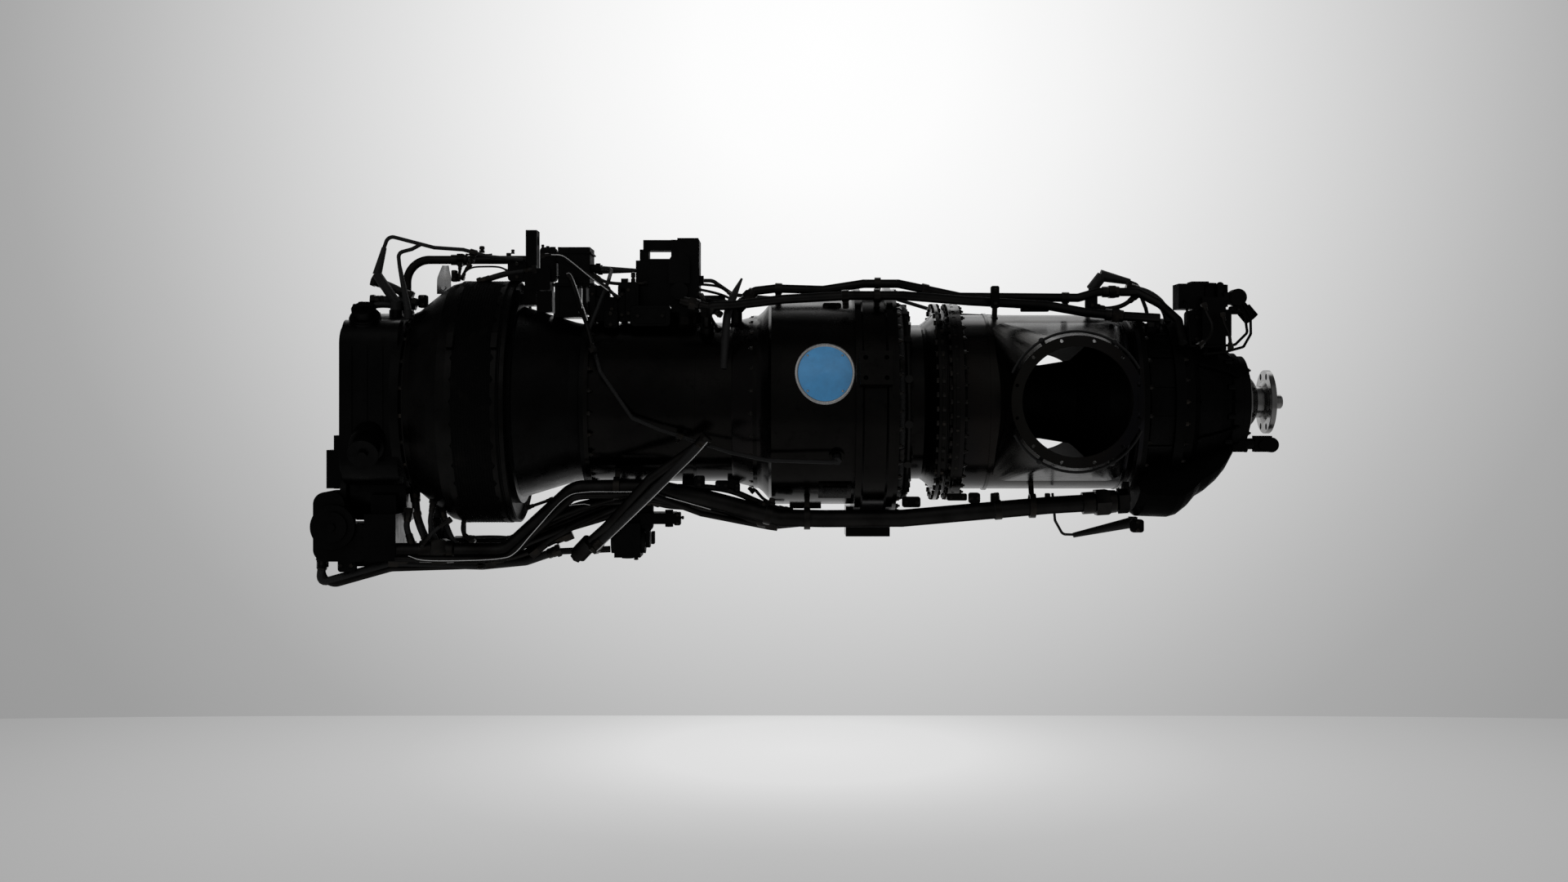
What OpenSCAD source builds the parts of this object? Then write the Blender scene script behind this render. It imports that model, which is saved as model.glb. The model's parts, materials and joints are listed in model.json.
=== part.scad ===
// Turboprop engine: reverse flow, free power turbine, two-stage planetary reduction gearbox.
// X runs along the engine towards the propeller, Z is up and every size is in mm.
// The origin is the centre of the propeller flange's front face.
// Angles round the engine are counted from the top, positive towards -Y.

/* [Propeller flange] */
// radius of the flange that the propeller bolts to
flange_radius = 64; // [60:1:75]
// thickness of that flange
flange_thickness = 11; // [9:0.5:14]
// diameter of the circle through its bolt holes
flange_bolt_circle = 107.95; // [100:0.05:115]
// number of bolt holes
flange_bolt_count = 8; // [6:1:12]
// radius of each bolt hole
flange_hole_radius = 6.6; // [5:0.1:7]
// radius of the propeller shaft at its seal
shaft_radius = 32; // [28:0.5:34]

/* [Reduction gearbox] */
// outer radius of the gearbox at its split flange
gearbox_radius = 168; // [164:1:200]
// how far the oil sump bulges out below that radius
sump_depth = 64; // [40:1:70]
// from the propeller flange's front face to the split between the housings
gearbox_split = 212; // [205:1:240]
// length of the rear housing
gearbox_rear_length = 74; // [70:1:100]
// tooth module of the first stage
first_module = 3; // [2.8:0.05:3.2]
// tooth module of the second stage
second_module = 3.6; // [3.3:0.05:3.65]
// thinning of every tooth at its pitch line
tooth_slack = 0.16; // [0.1:0.01:0.3]
// radial gap between a planet gear and its pin
pin_gap = 0.15; // [0.1:0.01:0.3]

/* [Exhaust duct] */
// radius of the round part of the duct
duct_radius = 175; // [165:1:185]
// length of the duct between its flanges
duct_length = 355; // [330:1:426]
// radius of the opening of each exhaust port
port_radius = 104; // [90:1:108]
// from the engine's axis out to the face of each port
port_reach = 275; // [260:1:330]
// from the duct's front face back to the middle of the ports
port_setback = 144; // [140:1:170]
// thickness of the duct's sheet
duct_wall = 2.5; // [2:0.5:4]

/* [Gas generator] */
// length of the turbine section, flange to mount ring
turbine_length = 127; // [120:1:150]
// length of the engine mount ring
mount_ring_length = 74; // [70:1:90]
// outer radius of the engine mount ring
mount_ring_radius = 231; // [228:1:260]
// length of the gas generator case behind the mount ring
gas_case_length = 162; // [150:1:195]
// outer radius of the gas generator case
gas_case_radius = 206; // [204:1:215]
// thickness of the cases' walls
case_wall = 5; // [4:0.5:6]

/* [Compressor and inlet] */
// outer radius of the compressor case
compressor_radius = 160; // [155:1:170]
// length of the compressor case
compressor_length = 335; // [320:1:402]
// length of the inlet cone
inlet_length = 145; // [140:1:175]
// outer radius of the inlet screen
screen_radius = 241; // [230:1:260]
// length of the round part of the inlet screen
screen_length = 102; // [95:1:125]
// radius of the six-sided holes in the screen
screen_hole = 9; // [5:0.5:9.5]

/* [Accessory gearbox] */
// outer radius of the accessory gearbox
accessory_radius = 178; // [175:1:200]
// length of the accessory gearbox
accessory_length = 115; // [112:1:140]
// diameter of the bolt circle of the starter pad
starter_bolt_circle = 127; // [120:1:135]
// tooth module of the accessory gears
accessory_module = 2.5; // [2.2:0.05:2.6]

/* [Tubes and clearances] */
// outer radius of the thick scavenge tube
scavenge_tube_radius = 17; // [12:0.5:18]
// outer radius of the oil and air tubes on top
oil_tube_radius = 8.5; // [6:0.5:10]
// outer radius of the thin tubes below
thin_tube_radius = 6.5; // [4:0.5:8]
// radial gap round turning shafts
turning_gap = 0.4; // [0.3:0.05:0.6]
// gap left between curved faces of neighbouring fixed pieces
seat_gap = 0.3; // [0.2:0.05:0.5]

/* [Hidden] */
$fn = 96;

// stations along the axis, each measured from the propeller flange's front face
x_seal = -flange_thickness - 20;
x_nose = x_seal - 27;
x_split = -gearbox_split;
x_gear_back = x_split - gearbox_rear_length;
x_duct_back = x_gear_back - duct_length;
x_port = x_gear_back - port_setback;
x_ring_front = x_duct_back - turbine_length;
x_ring_back = x_ring_front - mount_ring_length;
x_gas_back = x_ring_back - gas_case_length;
x_comp_front = x_gas_back - 28;
x_comp_back = x_comp_front - compressor_length;
x_inlet_back = x_comp_back - inlet_length;
x_screen_front = x_inlet_back - 8;
x_screen_back = x_screen_front - screen_length;
x_wall = x_screen_back - 40;
x_acc_front = x_screen_back - 108;
x_acc_back = x_acc_front - accessory_length;

// gear trains
sun_one = 15;
planet_one = 18;
ring_one = 51;
sun_two = 20;
planet_two = 20;
ring_two = 60;
arm_one = first_module * (sun_one + planet_one) / 2;
arm_two = second_module * (sun_two + planet_two) / 2;
x_one = x_split - 38;
width_one = 28;
x_two = x_split + 24;
width_two = 36;
pin_one = 13;
pin_two = 17;
pressure_angle = 25;

// accessory gears
pinion_teeth = 18;
starter_teeth = 45;
pump_teeth = 40;
x_train = x_acc_front - 68;
train_width = 20;
z_starter = accessory_module * (pinion_teeth + starter_teeth) / 2;
z_idler = -accessory_module * (pinion_teeth + pump_teeth) / 2;
z_pump = z_idler - accessory_module * pump_teeth;
lobe_radius = 66;

// turbines and compressor
neck_radius = duct_radius - 20;
shroud_radius = neck_radius - case_wall - seat_gap;
blade_tip = shroud_radius - 7.5;
liner_outer = gas_case_radius - 38;
axial_tip = compressor_radius - 35;
impeller_radius = 135;
inner_housing_radius = 74;
turbine_shaft_radius = 20;
core_shaft_radius = 30;

// solid of revolution round the engine's axis from a list of [x, radius]
module turned(p, sides = 96) {
  rotate([0, 90, 0])
    rotate_extrude($fn = sides)
      polygon([for (q = p) [q.y, q.x]]);
}

// part of such a solid, centred on the angle round the engine
module turned_part(p, angle, span, sides = 96) {
  rotate([180 + angle, 0, 0])
    rotate([0, 90, 0])
      rotate([0, 0, -span / 2])
        rotate_extrude(angle = span, $fn = sides)
          polygon([for (q = p) [q.y, q.x]]);
}

// closed outline of a wall of thickness t under the line p
function under(p, t) = concat(p, [for (i = [len(p) - 1:-1:0]) [p[i].x, p[i].y - t]]);

// ring or disc along the axis from station a to station b
module disc(a, b, r, hole = 0, sides = 96) {
  rotate([0, 90, 0])
    translate([0, 0, min(a, b)])
      difference() {
        cylinder(h = abs(b - a), r = r, $fn = sides);
        if (hole > 0) translate([0, 0, -1]) cylinder(h = abs(b - a) + 2, r = hole, $fn = sides);
      }
}

// copies of the children at radius r, evenly round the engine's axis, none within skip of the bottom
module round_axis(n, r, start = 0, skip = 0) {
  for (i = [0:n - 1])
    if (abs(start + i * 360 / n - 180) >= skip)
      rotate([start + i * 360 / n, 0, 0])
        translate([0, 0, r])
          children();
}

module box(low, size) {
  translate(low) cube(size);
}

module post(base, h, r, sides) {
  translate(base) cylinder(h = h, r = r, $fn = sides);
}

// rod along X
module xrod(a, b, r, sides = 32) {
  translate([min(a, b), 0, 0])
    rotate([0, 90, 0])
      cylinder(h = abs(b - a), r = r, $fn = sides);
}

// point at station x, angle a from the top and distance r from the axis
function at(x, a, r) = [x, -r * sin(a), r * cos(a)];
function unit(v) = v / norm(v);

// straight round rod between two points
module rod(a, b, r, sides = 48) {
  d = b - a;
  translate(a)
    rotate([0, acos(d.z / norm(d)), atan2(d.y, d.x)])
      cylinder(h = norm(d), r = r, $fn = sides);
}

// bend between two straight runs that would meet at the corner
module elbow(corner, into, out, bend, r) {
  turn = acos(into * out);
  inward = unit(out - into * (into * out));
  centre = corner - into * bend * tan(turn / 2) + inward * bend;
  w = cross(-inward, into);
  multmatrix([
    [-inward.x, into.x, w.x, centre.x],
    [-inward.y, into.y, w.y, centre.y],
    [-inward.z, into.z, w.z, centre.z],
    [0, 0, 0, 1]])
    rotate_extrude(angle = turn, $fn = 96)
      translate([bend, 0])
        circle(r = r + 0.1, $fn = 48);
}

// bent tube through the points p
module pipe(p, r, bend) {
  n = len(p);
  dir = [for (i = [0:n - 2]) unit(p[i + 1] - p[i])];
  cut = [for (i = [0:n - 1])
    i == 0 || i == n - 1 ? 0 : bend * tan(acos(dir[i - 1] * dir[i]) / 2) - 0.6];
  for (i = [0:n - 2])
    rod(p[i] + dir[i] * cut[i], p[i + 1] - dir[i] * cut[i + 1], r);
  for (i = [1:n - 2])
    elbow(p[i], dir[i - 1], dir[i], bend, r);
}

// nut that joins a tube's end to its union
module tube_nut(a, b, r, long = 16) {
  rod(a, a + unit(b - a) * long, r * 1.45, 6);
}

// cap screw standing on a face, its shank going into the face
module screw(r, shank, head) {
  post([0, 0, -shank], shank + 0.1, r, 24);
  cylinder(h = head + 1, r = r * 1.6, $fn = 6);
}

// half-angle of a tooth flank's involute at radius r
function inv(rb, r) = r <= rb ? 0 : tan(acos(rb / r)) * 180 / PI - acos(rb / r);

// involute gear outline, a tooth centred on local X
module gear_outline(z, m, slack, tip, root) {
  rp = m * z / 2;
  rb = rp * cos(pressure_angle);
  ra = rp + tip * m;
  rf = rp - root * m;
  r0 = max(rb, rf);
  mid = 90 / z - slack / rp * 90 / PI + inv(rb, rp);
  steps = 4;
  rs = [for (i = [0:steps]) r0 + (ra - r0) * i / steps];
  polygon([for (t = [0:z - 1]) let (a = t * 360 / z)
    each concat(
      rf < rb - 0.01 ? [[rf * cos(a - mid), rf * sin(a - mid)]] : [],
      [for (r = rs) [r * cos(a - mid + inv(rb, r)), r * sin(a - mid + inv(rb, r))]],
      [for (i = [steps:-1:0]) let (r = rs[i], h = a + mid - inv(rb, r)) [r * cos(h), r * sin(h)]],
      rf < rb - 0.01 ? [[rf * cos(a + mid), rf * sin(a + mid)]] : [])]);
}

// spur gear from station x forward, turned by phase degrees about the axis
module spur(x, width, z, m, bore, phase) {
  translate([x, 0, 0])
    rotate([0, 90, 0])
      rotate([0, 0, phase])
        linear_extrude(width)
          difference() {
            gear_outline(z, m, tooth_slack, 0.9, 1.15);
            if (bore > 0) circle(r = bore, $fn = 64);
          }
}

// toothed ring from station x forward
module ring_teeth(x, width, z, m, outer, phase) {
  translate([x, 0, 0])
    rotate([0, 90, 0])
      rotate([0, 0, phase])
        linear_extrude(width)
          difference() {
            circle(r = outer);
            gear_outline(z, m, -tooth_slack, 1.15, 0.9);
          }
}

// turn of a gear of zb teeth that puts it in mesh with one of za teeth turned by pa,
// its centre lying in direction phi
function mesh(phi, za, pa, zb) = phi + 180 - 180 / zb + (phi - pa) * za / zb;

// blades standing on a rim
module blades(n, x, r0, r1, chord, thick, twist) {
  for (i = [0:n - 1])
    rotate([i * 360 / n, 0, 0])
      translate([x, 0, r0])
        rotate([0, 0, twist])
          translate([-chord / 2, -thick / 2, 0])
            cube([chord, thick, r1 - r0]);
}

// holes through flanges, for bolts
module flange_holes(n, r, a, b, hole, start = 0, skip = 0) {
  round_axis(n, r, start, skip) xrod(a - 1, b + 1, hole, 20);
}

// ---------- reduction gearbox ----------
cavity = gearbox_radius - 18;
sump_radius = gearbox_radius + sump_depth;
split_bolts = 24;
split_bolt_radius = gearbox_radius - 5;
back_flange = duct_radius + 6;
back_bolt_radius = back_flange - 7;
sump_span = 76;

module reduction_gearbox_front_housing() {
  g = gearbox_radius;
  n = x_nose;
  color("dimgray")
  difference() {
    union() {
      turned([[n, 62], [n, 92], [n - 14, 92], [n - 16, 98], [n - 34, 98], [n - 44, g * 0.65],
        [n - 64, g * 0.72], [n - 90, g * 0.79], [n - 112, g * 0.84], [n - 124, g * 0.9],
        [x_split + 9, g * 0.925],
        [x_split + 9, g], [x_split, g], [x_split, cavity + 6], [x_split + 9, cavity + 6],
        [x_split + 9, cavity - 4], [n - 112, cavity - 17], [n - 90, cavity - 26], [n - 64, cavity - 38],
        [n - 54, cavity - 44], [n - 54, 62]]);
      // oil sump that bulges out below
      turned_part([[n - 30, 90], [n - 30, g * 0.7], [n - 46, g * 0.86], [n - 62, g * 0.97],
        [n - 84, g * 1.08], [n - 104, g + sump_depth * 0.4], [n - 122, g + sump_depth * 0.72],
        [n - 140, sump_radius - 4], [x_split, sump_radius], [x_split, g - 14], [n - 112, cavity - 10],
        [n - 90, cavity - 20], [n - 64, cavity - 32], [n - 54, 90]], 180, sump_span);
      // seat of the propeller governor and boss for the speed sensor
      box([n - 106, -62, cavity - 40], [62, 60, 40]);
      box([n - 40, -50, -100], [40, 30, 30]);
      round_axis(12, g * 0.66, 15) xrod(n - 50, n - 36, 6, 24);
      // stiffening ribs
      round_axis(12, 0, 0)
        translate([n - 112, -2.5, 0])
          rotate([90, 0, 0]) translate([0, 0, -5])
            linear_extrude(5)
              polygon([[0, g * 0.8], [0, g * 0.875], [22, g * 0.825], [48, g * 0.755], [68, g * 0.685],
                [80, 104], [96, 95], [96, 70], [68, 96], [48, g * 0.7], [22, g * 0.76]]);
    }
    disc(n + 1, n - 54.5, 62);
    turned([[n - 54, 0], [n - 54, cavity - 45], [n - 64, cavity - 39], [n - 90, cavity - 27],
      [n - 112, cavity - 18], [x_split + 8, cavity - 4.01], [x_split + 8, 0]]);
    disc(x_split + 9.05, x_split - 1, cavity + 6);
    // pocket of the sump
    turned_part([[n - 70, g * 0.7], [n - 84, g * 0.98], [n - 104, g + sump_depth * 0.26],
      [n - 122, g + sump_depth * 0.58], [n - 142, sump_radius - 13], [x_split + 8, sump_radius - 9],
      [x_split + 8, g * 0.7]], 180, sump_span - 18);
    flange_holes(split_bolts, split_bolt_radius, x_split, x_split + 9, 3.3, 0, 40);
  }
}

module reduction_gearbox_rear_housing() {
  back = x_gear_back;
  g = gearbox_radius;
  color("dimgray")
  difference() {
    union() {
      turned([[x_split, g - 17], [x_split, g], [x_split - 10, g], [x_split - 10, g - 11],
        [back + 18, g - 11], [back + 10, g - 2], [back + 10, back_flange], [back, back_flange], [back, 38],
        [back + 8, 38], [back + 8, g - 17]]);
      turned_part([[x_split, g - 16], [x_split, sump_radius], [back + 14, sump_radius - 2],
        [back, sump_radius - 12], [back, g - 16]], 180, sump_span);
      // boss for the shaft bearing
      disc(back, back + 22, 50, 38);
      round_axis(16, g - 13, 11.25)
        box([back + 12, -2.5, -4], [gearbox_rear_length - 24, 5, 9]);
      // feet for the tube clips
      rotate([29, 0, 0]) box([back + 22, -10, g - 16], [18, 20, 20]);
    }
    turned_part([[x_split - 9, g - 22], [x_split - 9, sump_radius - 8], [back + 16, sump_radius - 12],
      [back + 8, sump_radius - 20], [back + 8, g - 22]], 180, sump_span - 18);
    flange_holes(split_bolts, split_bolt_radius, x_split - 10, x_split, 3.3, 0, 40);
    flange_holes(20, back_bolt_radius, back, back + 10, 3.3, 9, 40);
  }
}

module propeller_seal_cover() {
  r = shaft_radius + turning_gap;
  color("slategray")
  difference() {
    turned([[x_seal, r], [x_seal, r + 4], [x_seal - 6, r + 13], [x_seal - 14, r + 22],
      [x_seal - 21, r + 26], [x_seal - 21, 75], [x_nose, 75], [x_nose, r]]);
    flange_holes(8, 68, x_nose, x_seal - 21, 3.3, 22.5);
  }
}

module first_stage_ring_gear() {
  outer = first_module * ring_one / 2 + 10;
  phase = 180 / ring_one;
  back = x_gear_back + 8;
  color("silver") {
    ring_teeth(x_one, width_one, ring_one, first_module, outer, phase);
    turned([[x_one + 0.5, outer - 4], [x_one + 0.5, outer - 1], [back + 8, outer - 1],
      [back + 8, outer + 24], [back, outer + 24], [back, outer - 4]]);
  }
}

module second_stage_ring_gear() {
  outer = second_module * ring_two / 2 + 15;
  phase = 180 / ring_two;
  color("silver") {
    ring_teeth(x_two, width_two, ring_two, second_module, outer, phase);
    turned([[x_two + 0.5, outer - 6], [x_two + 0.5, outer - 1], [x_split + 8.7, outer - 1],
      [x_split + 8.7, cavity + 6 - seat_gap], [x_split, cavity + 6 - seat_gap], [x_split, outer - 6]]);
  }
}

// ball or roller bearing: outer race with its balls, running on a shaft of the given radius
module ball_bearing(x, width, shaft, outer, ball, n) {
  pitch = shaft + turning_gap + ball;
  turned([[x, pitch + ball * 0.7], [x, outer], [x + width, outer], [x + width, pitch + ball * 0.7]]);
  round_axis(n, pitch) translate([x + width / 2, 0, 0]) sphere(r = ball, $fn = 24);
}

module roller_bearing(x, width, shaft, outer, roller, n) {
  pitch = shaft + turning_gap + roller;
  turned([[x, pitch + roller * 0.7], [x, outer], [x + width, outer], [x + width, pitch + roller * 0.7]]);
  round_axis(n, pitch) xrod(x + 2, x + width - 2, roller, 24);
}

module shaft_bearings() {
  color("lightsteelblue") {
    ball_bearing(x_nose - 26, 24, shaft_radius + 8, 62 - seat_gap, 7, 12);
    roller_bearing(x_nose - 52, 18, shaft_radius + 8, 62 - seat_gap, 6, 14);
    roller_bearing(x_gear_back - 26, 16, turbine_shaft_radius, 38 - seat_gap, 5, 12);
    ball_bearing(x_duct_back + 14, 16, turbine_shaft_radius, 38 - seat_gap, 5, 12);
    roller_bearing(x_gas_back + 22, 16, core_shaft_radius, 48 - seat_gap, 5, 16);
    ball_bearing(x_inlet_back - 40, 18, core_shaft_radius, 52 - seat_gap, 6, 14);
  }
}

// ---------- exhaust section ----------
port_bolt_radius = port_radius + 13.7;
port_flange_radius = port_radius + 20.3;

// block that blends the round duct into one port, drawn in by t
module port_block(side, t) {
  hull() {
    for (x = [x_port - 112, x_port + 82], z = [-115, 115])
      translate([x, side * (100 - t), z])
        rotate([90, 0, 0]) cylinder(r = 40 - t, h = 2, center = true, $fn = 40);
    translate([x_port, side * (port_reach - 8 - t), 0])
      rotate([90, 0, 0]) cylinder(r = port_radius + 3 - t, h = 4, center = true, $fn = 80);
  }
}

module exhaust_duct() {
  color("#3a3836")
  difference() {
    union() {
      turned([[x_duct_back, 100], [x_duct_back, duct_radius], [x_gear_back - 24, duct_radius],
        [x_gear_back - 10, duct_radius - 10], [x_gear_back, duct_radius - 10], [x_gear_back, 100]]);
      disc(x_duct_back, x_duct_back + 8, duct_radius + 22);
      disc(x_gear_back - 8, x_gear_back, back_flange);
      disc(x_duct_back + 60, x_duct_back + 66, duct_radius + 3);
      port_block(-1, 0);
      port_block(1, 0);
      for (s = [-1, 1])
        translate([x_port, s * (port_reach - 4), 0])
          rotate([90, 0, 0]) cylinder(r = port_flange_radius, h = 8, center = true);
    }
    turned([[x_duct_back - 1, 0], [x_duct_back - 1, duct_radius - duct_wall],
      [x_gear_back - 24.5, duct_radius - duct_wall], [x_gear_back - 10.5, duct_radius - 10 - duct_wall],
      [x_gear_back - 5, duct_radius - 10 - duct_wall], [x_gear_back - 5, 0]]);
    port_block(-1, duct_wall);
    port_block(1, duct_wall);
    translate([x_port, 0, 0])
      rotate([90, 0, 0]) cylinder(r = port_radius, h = 2 * port_reach + 2, center = true);
    disc(x_gear_back - 10, x_gear_back + 1, 60);
    for (s = [-1, 1], i = [0:11])
      translate([x_port, s * (port_reach - 4), 0])
        rotate([0, 15 + i * 30, 0]) translate([0, 0, port_bolt_radius])
          rotate([90, 0, 0]) cylinder(r = 3.3, h = 12, center = true, $fn = 20);
    flange_holes(36, duct_radius + 15, x_duct_back, x_duct_back + 8, 3.3);
    flange_holes(20, back_bolt_radius, x_gear_back - 8, x_gear_back, 3.3, 9, 40);
  }
}

module power_turbine_shaft_housing() {
  r = inner_housing_radius;
  color("#4a4744") {
    turned(under([[x_duct_back + 2, r], [x_port - 34, r], [x_port + 28, r + 10], [x_port + 53, r + 32],
      [x_port + 85, r + 64], [x_gear_back - 6, duct_radius - duct_wall - 16]], 4));
    // bearing tube inside
    disc(x_duct_back + 2, x_gear_back - 6, 44, 38);
    disc(x_duct_back + 2, x_duct_back + 8, r - 2, 40);
    disc(x_gear_back - 12, x_gear_back - 5, duct_radius - duct_wall - 18, 40);
  }
}

// ---------- turbines ----------
module vane_ring(x, r0, r1, n, twist) {
  disc(x - 9, x + 9, r0, r0 - 4);
  blades(n, x, r0 - 1, r1 + 1, 15, 2.4, twist);
}

module power_turbine_vane_rings() {
  color("silver") {
    disc(x_ring_front + 36, x_duct_back - 6, shroud_radius, shroud_radius - 5);
    vane_ring(x_ring_front + 46, 102, shroud_radius - 4, 24, 35);
    vane_ring(x_ring_front + 90, 102, shroud_radius - 4, 24, 35);
  }
}

module power_turbine_discs() {
  color("gray")
    for (x = [x_ring_front + 68, x_ring_front + 112]) {
      turned([[x - 9, turbine_shaft_radius - 0.1 + seat_gap], [x - 9, 40], [x - 5, 60], [x - 6, 92],
        [x - 9, 97], [x - 9, 102], [x + 9, 102], [x + 9, 97], [x + 6, 92], [x + 5, 60], [x + 9, 40],
        [x + 9, turbine_shaft_radius - 0.1 + seat_gap]]);
      blades(29, x, 101, blade_tip, 14, 2.6, -30);
    }
}

module power_turbine_shaft() {
  r = turbine_shaft_radius;
  color("silver")
    turned([[x_ring_front + 50, 10], [x_ring_front + 50, r - 2], [x_ring_front + 56, r - 2],
      [x_ring_front + 56, r], [x_one - 18, r], [x_one - 18, 15],
      [x_one + width_one + 6, 15], [x_one + width_one + 6, 8], [x_ring_front + 70, 8]]);
}

module first_stage_sun_gear() {
  color("gainsboro") {
    spur(x_one, width_one, sun_one, first_module, 15 + seat_gap / 2, 0);
    disc(x_one - 8, x_one + 0.5, 18.5, 15 + seat_gap / 2);
  }
}

module compressor_turbine() {
  x = x_ring_front - 6;
  color("gray") {
    turned([[x - 11, core_shaft_radius - 4.8], [x - 11, 46], [x - 6, 66], [x - 7, 90], [x - 11, 96],
      [x - 11, 100], [x + 9, 100], [x + 9, 96], [x + 6, 90], [x + 5, 66], [x + 9, 46],
      [x + 9, core_shaft_radius - 4.8]]);
    blades(41, x, 99, 128, 16, 2.4, 38);
  }
}

module compressor_turbine_vane_ring() {
  x = x_ring_front - 36;
  color("silver") {
    disc(x - 12, x + 12, 102, 98);
    disc(x - 14, x + 44, 136, 130);
    blades(24, x, 101, 131, 18, 2.6, -40);
  }
}

module combustion_liner() {
  front = x_ring_front - 52;
  back = x_gas_back + 44;
  color("#8a7f72")
  difference() {
    union() {
      turned(under([[back, liner_outer - 14], [back + 10, liner_outer], [front - 10, liner_outer],
        [front, liner_outer - 12]], 2.5));
      turned([[back, liner_outer - 14], [back, 118], [back + 2.5, 118], [back + 2.5, liner_outer - 12]]);
      disc(back, front, 120.5, 118);
      turned([[front, 131], [front, liner_outer - 12], [front - 2.5, liner_outer - 12.5],
        [front - 2.5, 131]]);
    }
    for (row = [0:2], i = [0:13])
      rotate([i * 360 / 14 + row * 12, 0, 0])
        post([back + 30 + row * 38, 0, liner_outer - 8], 14, 5.5, 20);
    for (i = [0:13])
      rotate([i * 360 / 14, 0, 0]) translate([0, 0, nozzle_r]) xrod(front - 4, front + 2, 5.8, 24);
  }
}

nozzle_x = x_ring_front + 28;
nozzle_r = 143;

module fuel_manifold() {
  hose = neck_radius + 34;
  color("#2b2b2b") {
    rotate([0, 90, 0])
      translate([0, 0, nozzle_x])
        rotate_extrude($fn = 144) translate([hose, 0]) circle(r = 5, $fn = 24);
    round_axis(14, 0) {
      post([nozzle_x, 0, nozzle_r], hose - nozzle_r, 5.5, 32);
      post([nozzle_x, 0, hose - 12], 10, 10, 6);
      post([nozzle_x, 0, hose - 7], 14, 8, 32);
      translate([0, 0, nozzle_r]) xrod(x_ring_front - 57, nozzle_x, 5.2, 24);
      translate([nozzle_x, 0, nozzle_r]) sphere(r = 5.6, $fn = 24);
    }
  }
}

// ---------- gas generator ----------
module gas_generator_case() {
  f = x_ring_front;
  d = x_duct_back;
  g = gas_case_radius;
  outer = [[d, duct_radius + 22], [d - 9, duct_radius + 22], [d - 9, duct_radius + 9],
    [d - 30, duct_radius + 9], [d - 30, duct_radius + 17], [d - 36, duct_radius + 17],
    [d - 36, duct_radius + 3], [d - 60, neck_radius + 4], [d - 66, neck_radius],
    [f + 22, neck_radius], [f + 16, neck_radius + 8], [f, g - 6], [f, g],
    [x_gas_back, g], [x_comp_front + 8, compressor_radius + 6], [x_comp_front + 8, compressor_radius + 14],
    [x_comp_front, compressor_radius + 14]];
  inner = [[x_comp_front, compressor_radius - case_wall], [x_comp_front + 8, compressor_radius],
    [x_gas_back + 4, g - case_wall - 4], [x_gas_back + 14, g - case_wall - 4],
    [x_gas_back + 14, g - case_wall],
    [f - 6, g - case_wall], [f - 1, g - 14], [f + 10, neck_radius + 2], [f + 15, neck_radius - case_wall],
    [d - 60, neck_radius - case_wall], [d - 34, duct_radius - 9], [d, duct_radius - 9]];
  color("#4d4b48")
  difference() {
    union() {
      turned(concat(outer, inner));
      // small rectangular pad low on the near side
      rotate([147, 0, 0]) box([x_ring_back - 70, -26, g - 12], [64, 52, 15]);
      rotate([147, 0, 0]) box([x_ring_back - 62, -18, g - 12], [48, 36, 17]);
      box([x_gas_back + 36, -26, -g - 8], [63, 52, 20]);
      round_axis(2, 0, 120) post([x_ring_back - 36, 0, g - 8], 16, 15, 48);
      round_axis(14, 0) post([nozzle_x, 0, neck_radius - 2], 20, 12, 32);
    }
    turned(concat([[d + 1, 0], [x_comp_front - 1, 0], [x_comp_front - 1, compressor_radius - case_wall]],
      inner, [[d + 1, duct_radius - 9]]));
    round_axis(14, 0) post([nozzle_x, 0, 100], 120, 6.2, 32);
    flange_holes(36, duct_radius + 15, d - 9, d, 3.3);
    flange_holes(24, compressor_radius + 9, x_comp_front, x_comp_front + 8, 3.3, 7.5);
  }
}

// machined pads with four tapped holes: angle, radius of the face, distance of the middle
// behind the ring's front, length, width, and the two pitches of the holes
side_face = mount_ring_radius + 19;
mount_pads = [[180, mount_ring_radius + 38, 44, 88, 84, 60, 52],
  [75, side_face, 37, 62, 66, 40, 40], [-75, side_face, 37, 62, 66, 40, 40]];

module mount_pad(p) {
  rotate([p[0], 0, 0])
    translate([x_ring_front - p[2] - p[3] / 2, -p[4] / 2, mount_ring_radius - 22])
      cube([p[3], p[4], p[1] - mount_ring_radius + 22]);
}

module mount_pad_holes(p) {
  rotate([p[0], 0, 0])
    for (i = [-0.5, 0.5], j = [-0.5, 0.5])
      translate([x_ring_front - p[2] + i * p[5], j * p[6], p[1] - 22])
        cylinder(h = 30, r = 4.6, $fn = 32);
}

module engine_mount_ring() {
  bore = gas_case_radius + seat_gap;
  f = x_ring_front;
  b = x_ring_back;
  color("#34332f")
  difference() {
    union() {
      turned([[f, bore], [f, mount_ring_radius], [f - 12, mount_ring_radius], [f - 16, mount_ring_radius - 8],
        [b + 16, mount_ring_radius - 8], [b + 12, mount_ring_radius], [b, mount_ring_radius], [b, bore]]);
      for (p = mount_pads) mount_pad(p);
      turned([[f, gas_case_radius - 10], [f + 8, gas_case_radius - 10], [f + 8, mount_ring_radius - 4],
        [f, mount_ring_radius - 4]]);
    }
    disc(f, b - 1, bore);
    turned([[f - 1, 0], [f - 1, bore], [f, gas_case_radius + seat_gap], [f, gas_case_radius - 5],
      [f + 12, gas_case_radius - 28], [f + 12, 0]]);
    for (p = mount_pads) mount_pad_holes(p);
    flange_holes(40, mount_ring_radius - 9, f - 14, f + 9, 3.3, 4.5);
  }
}

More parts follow.
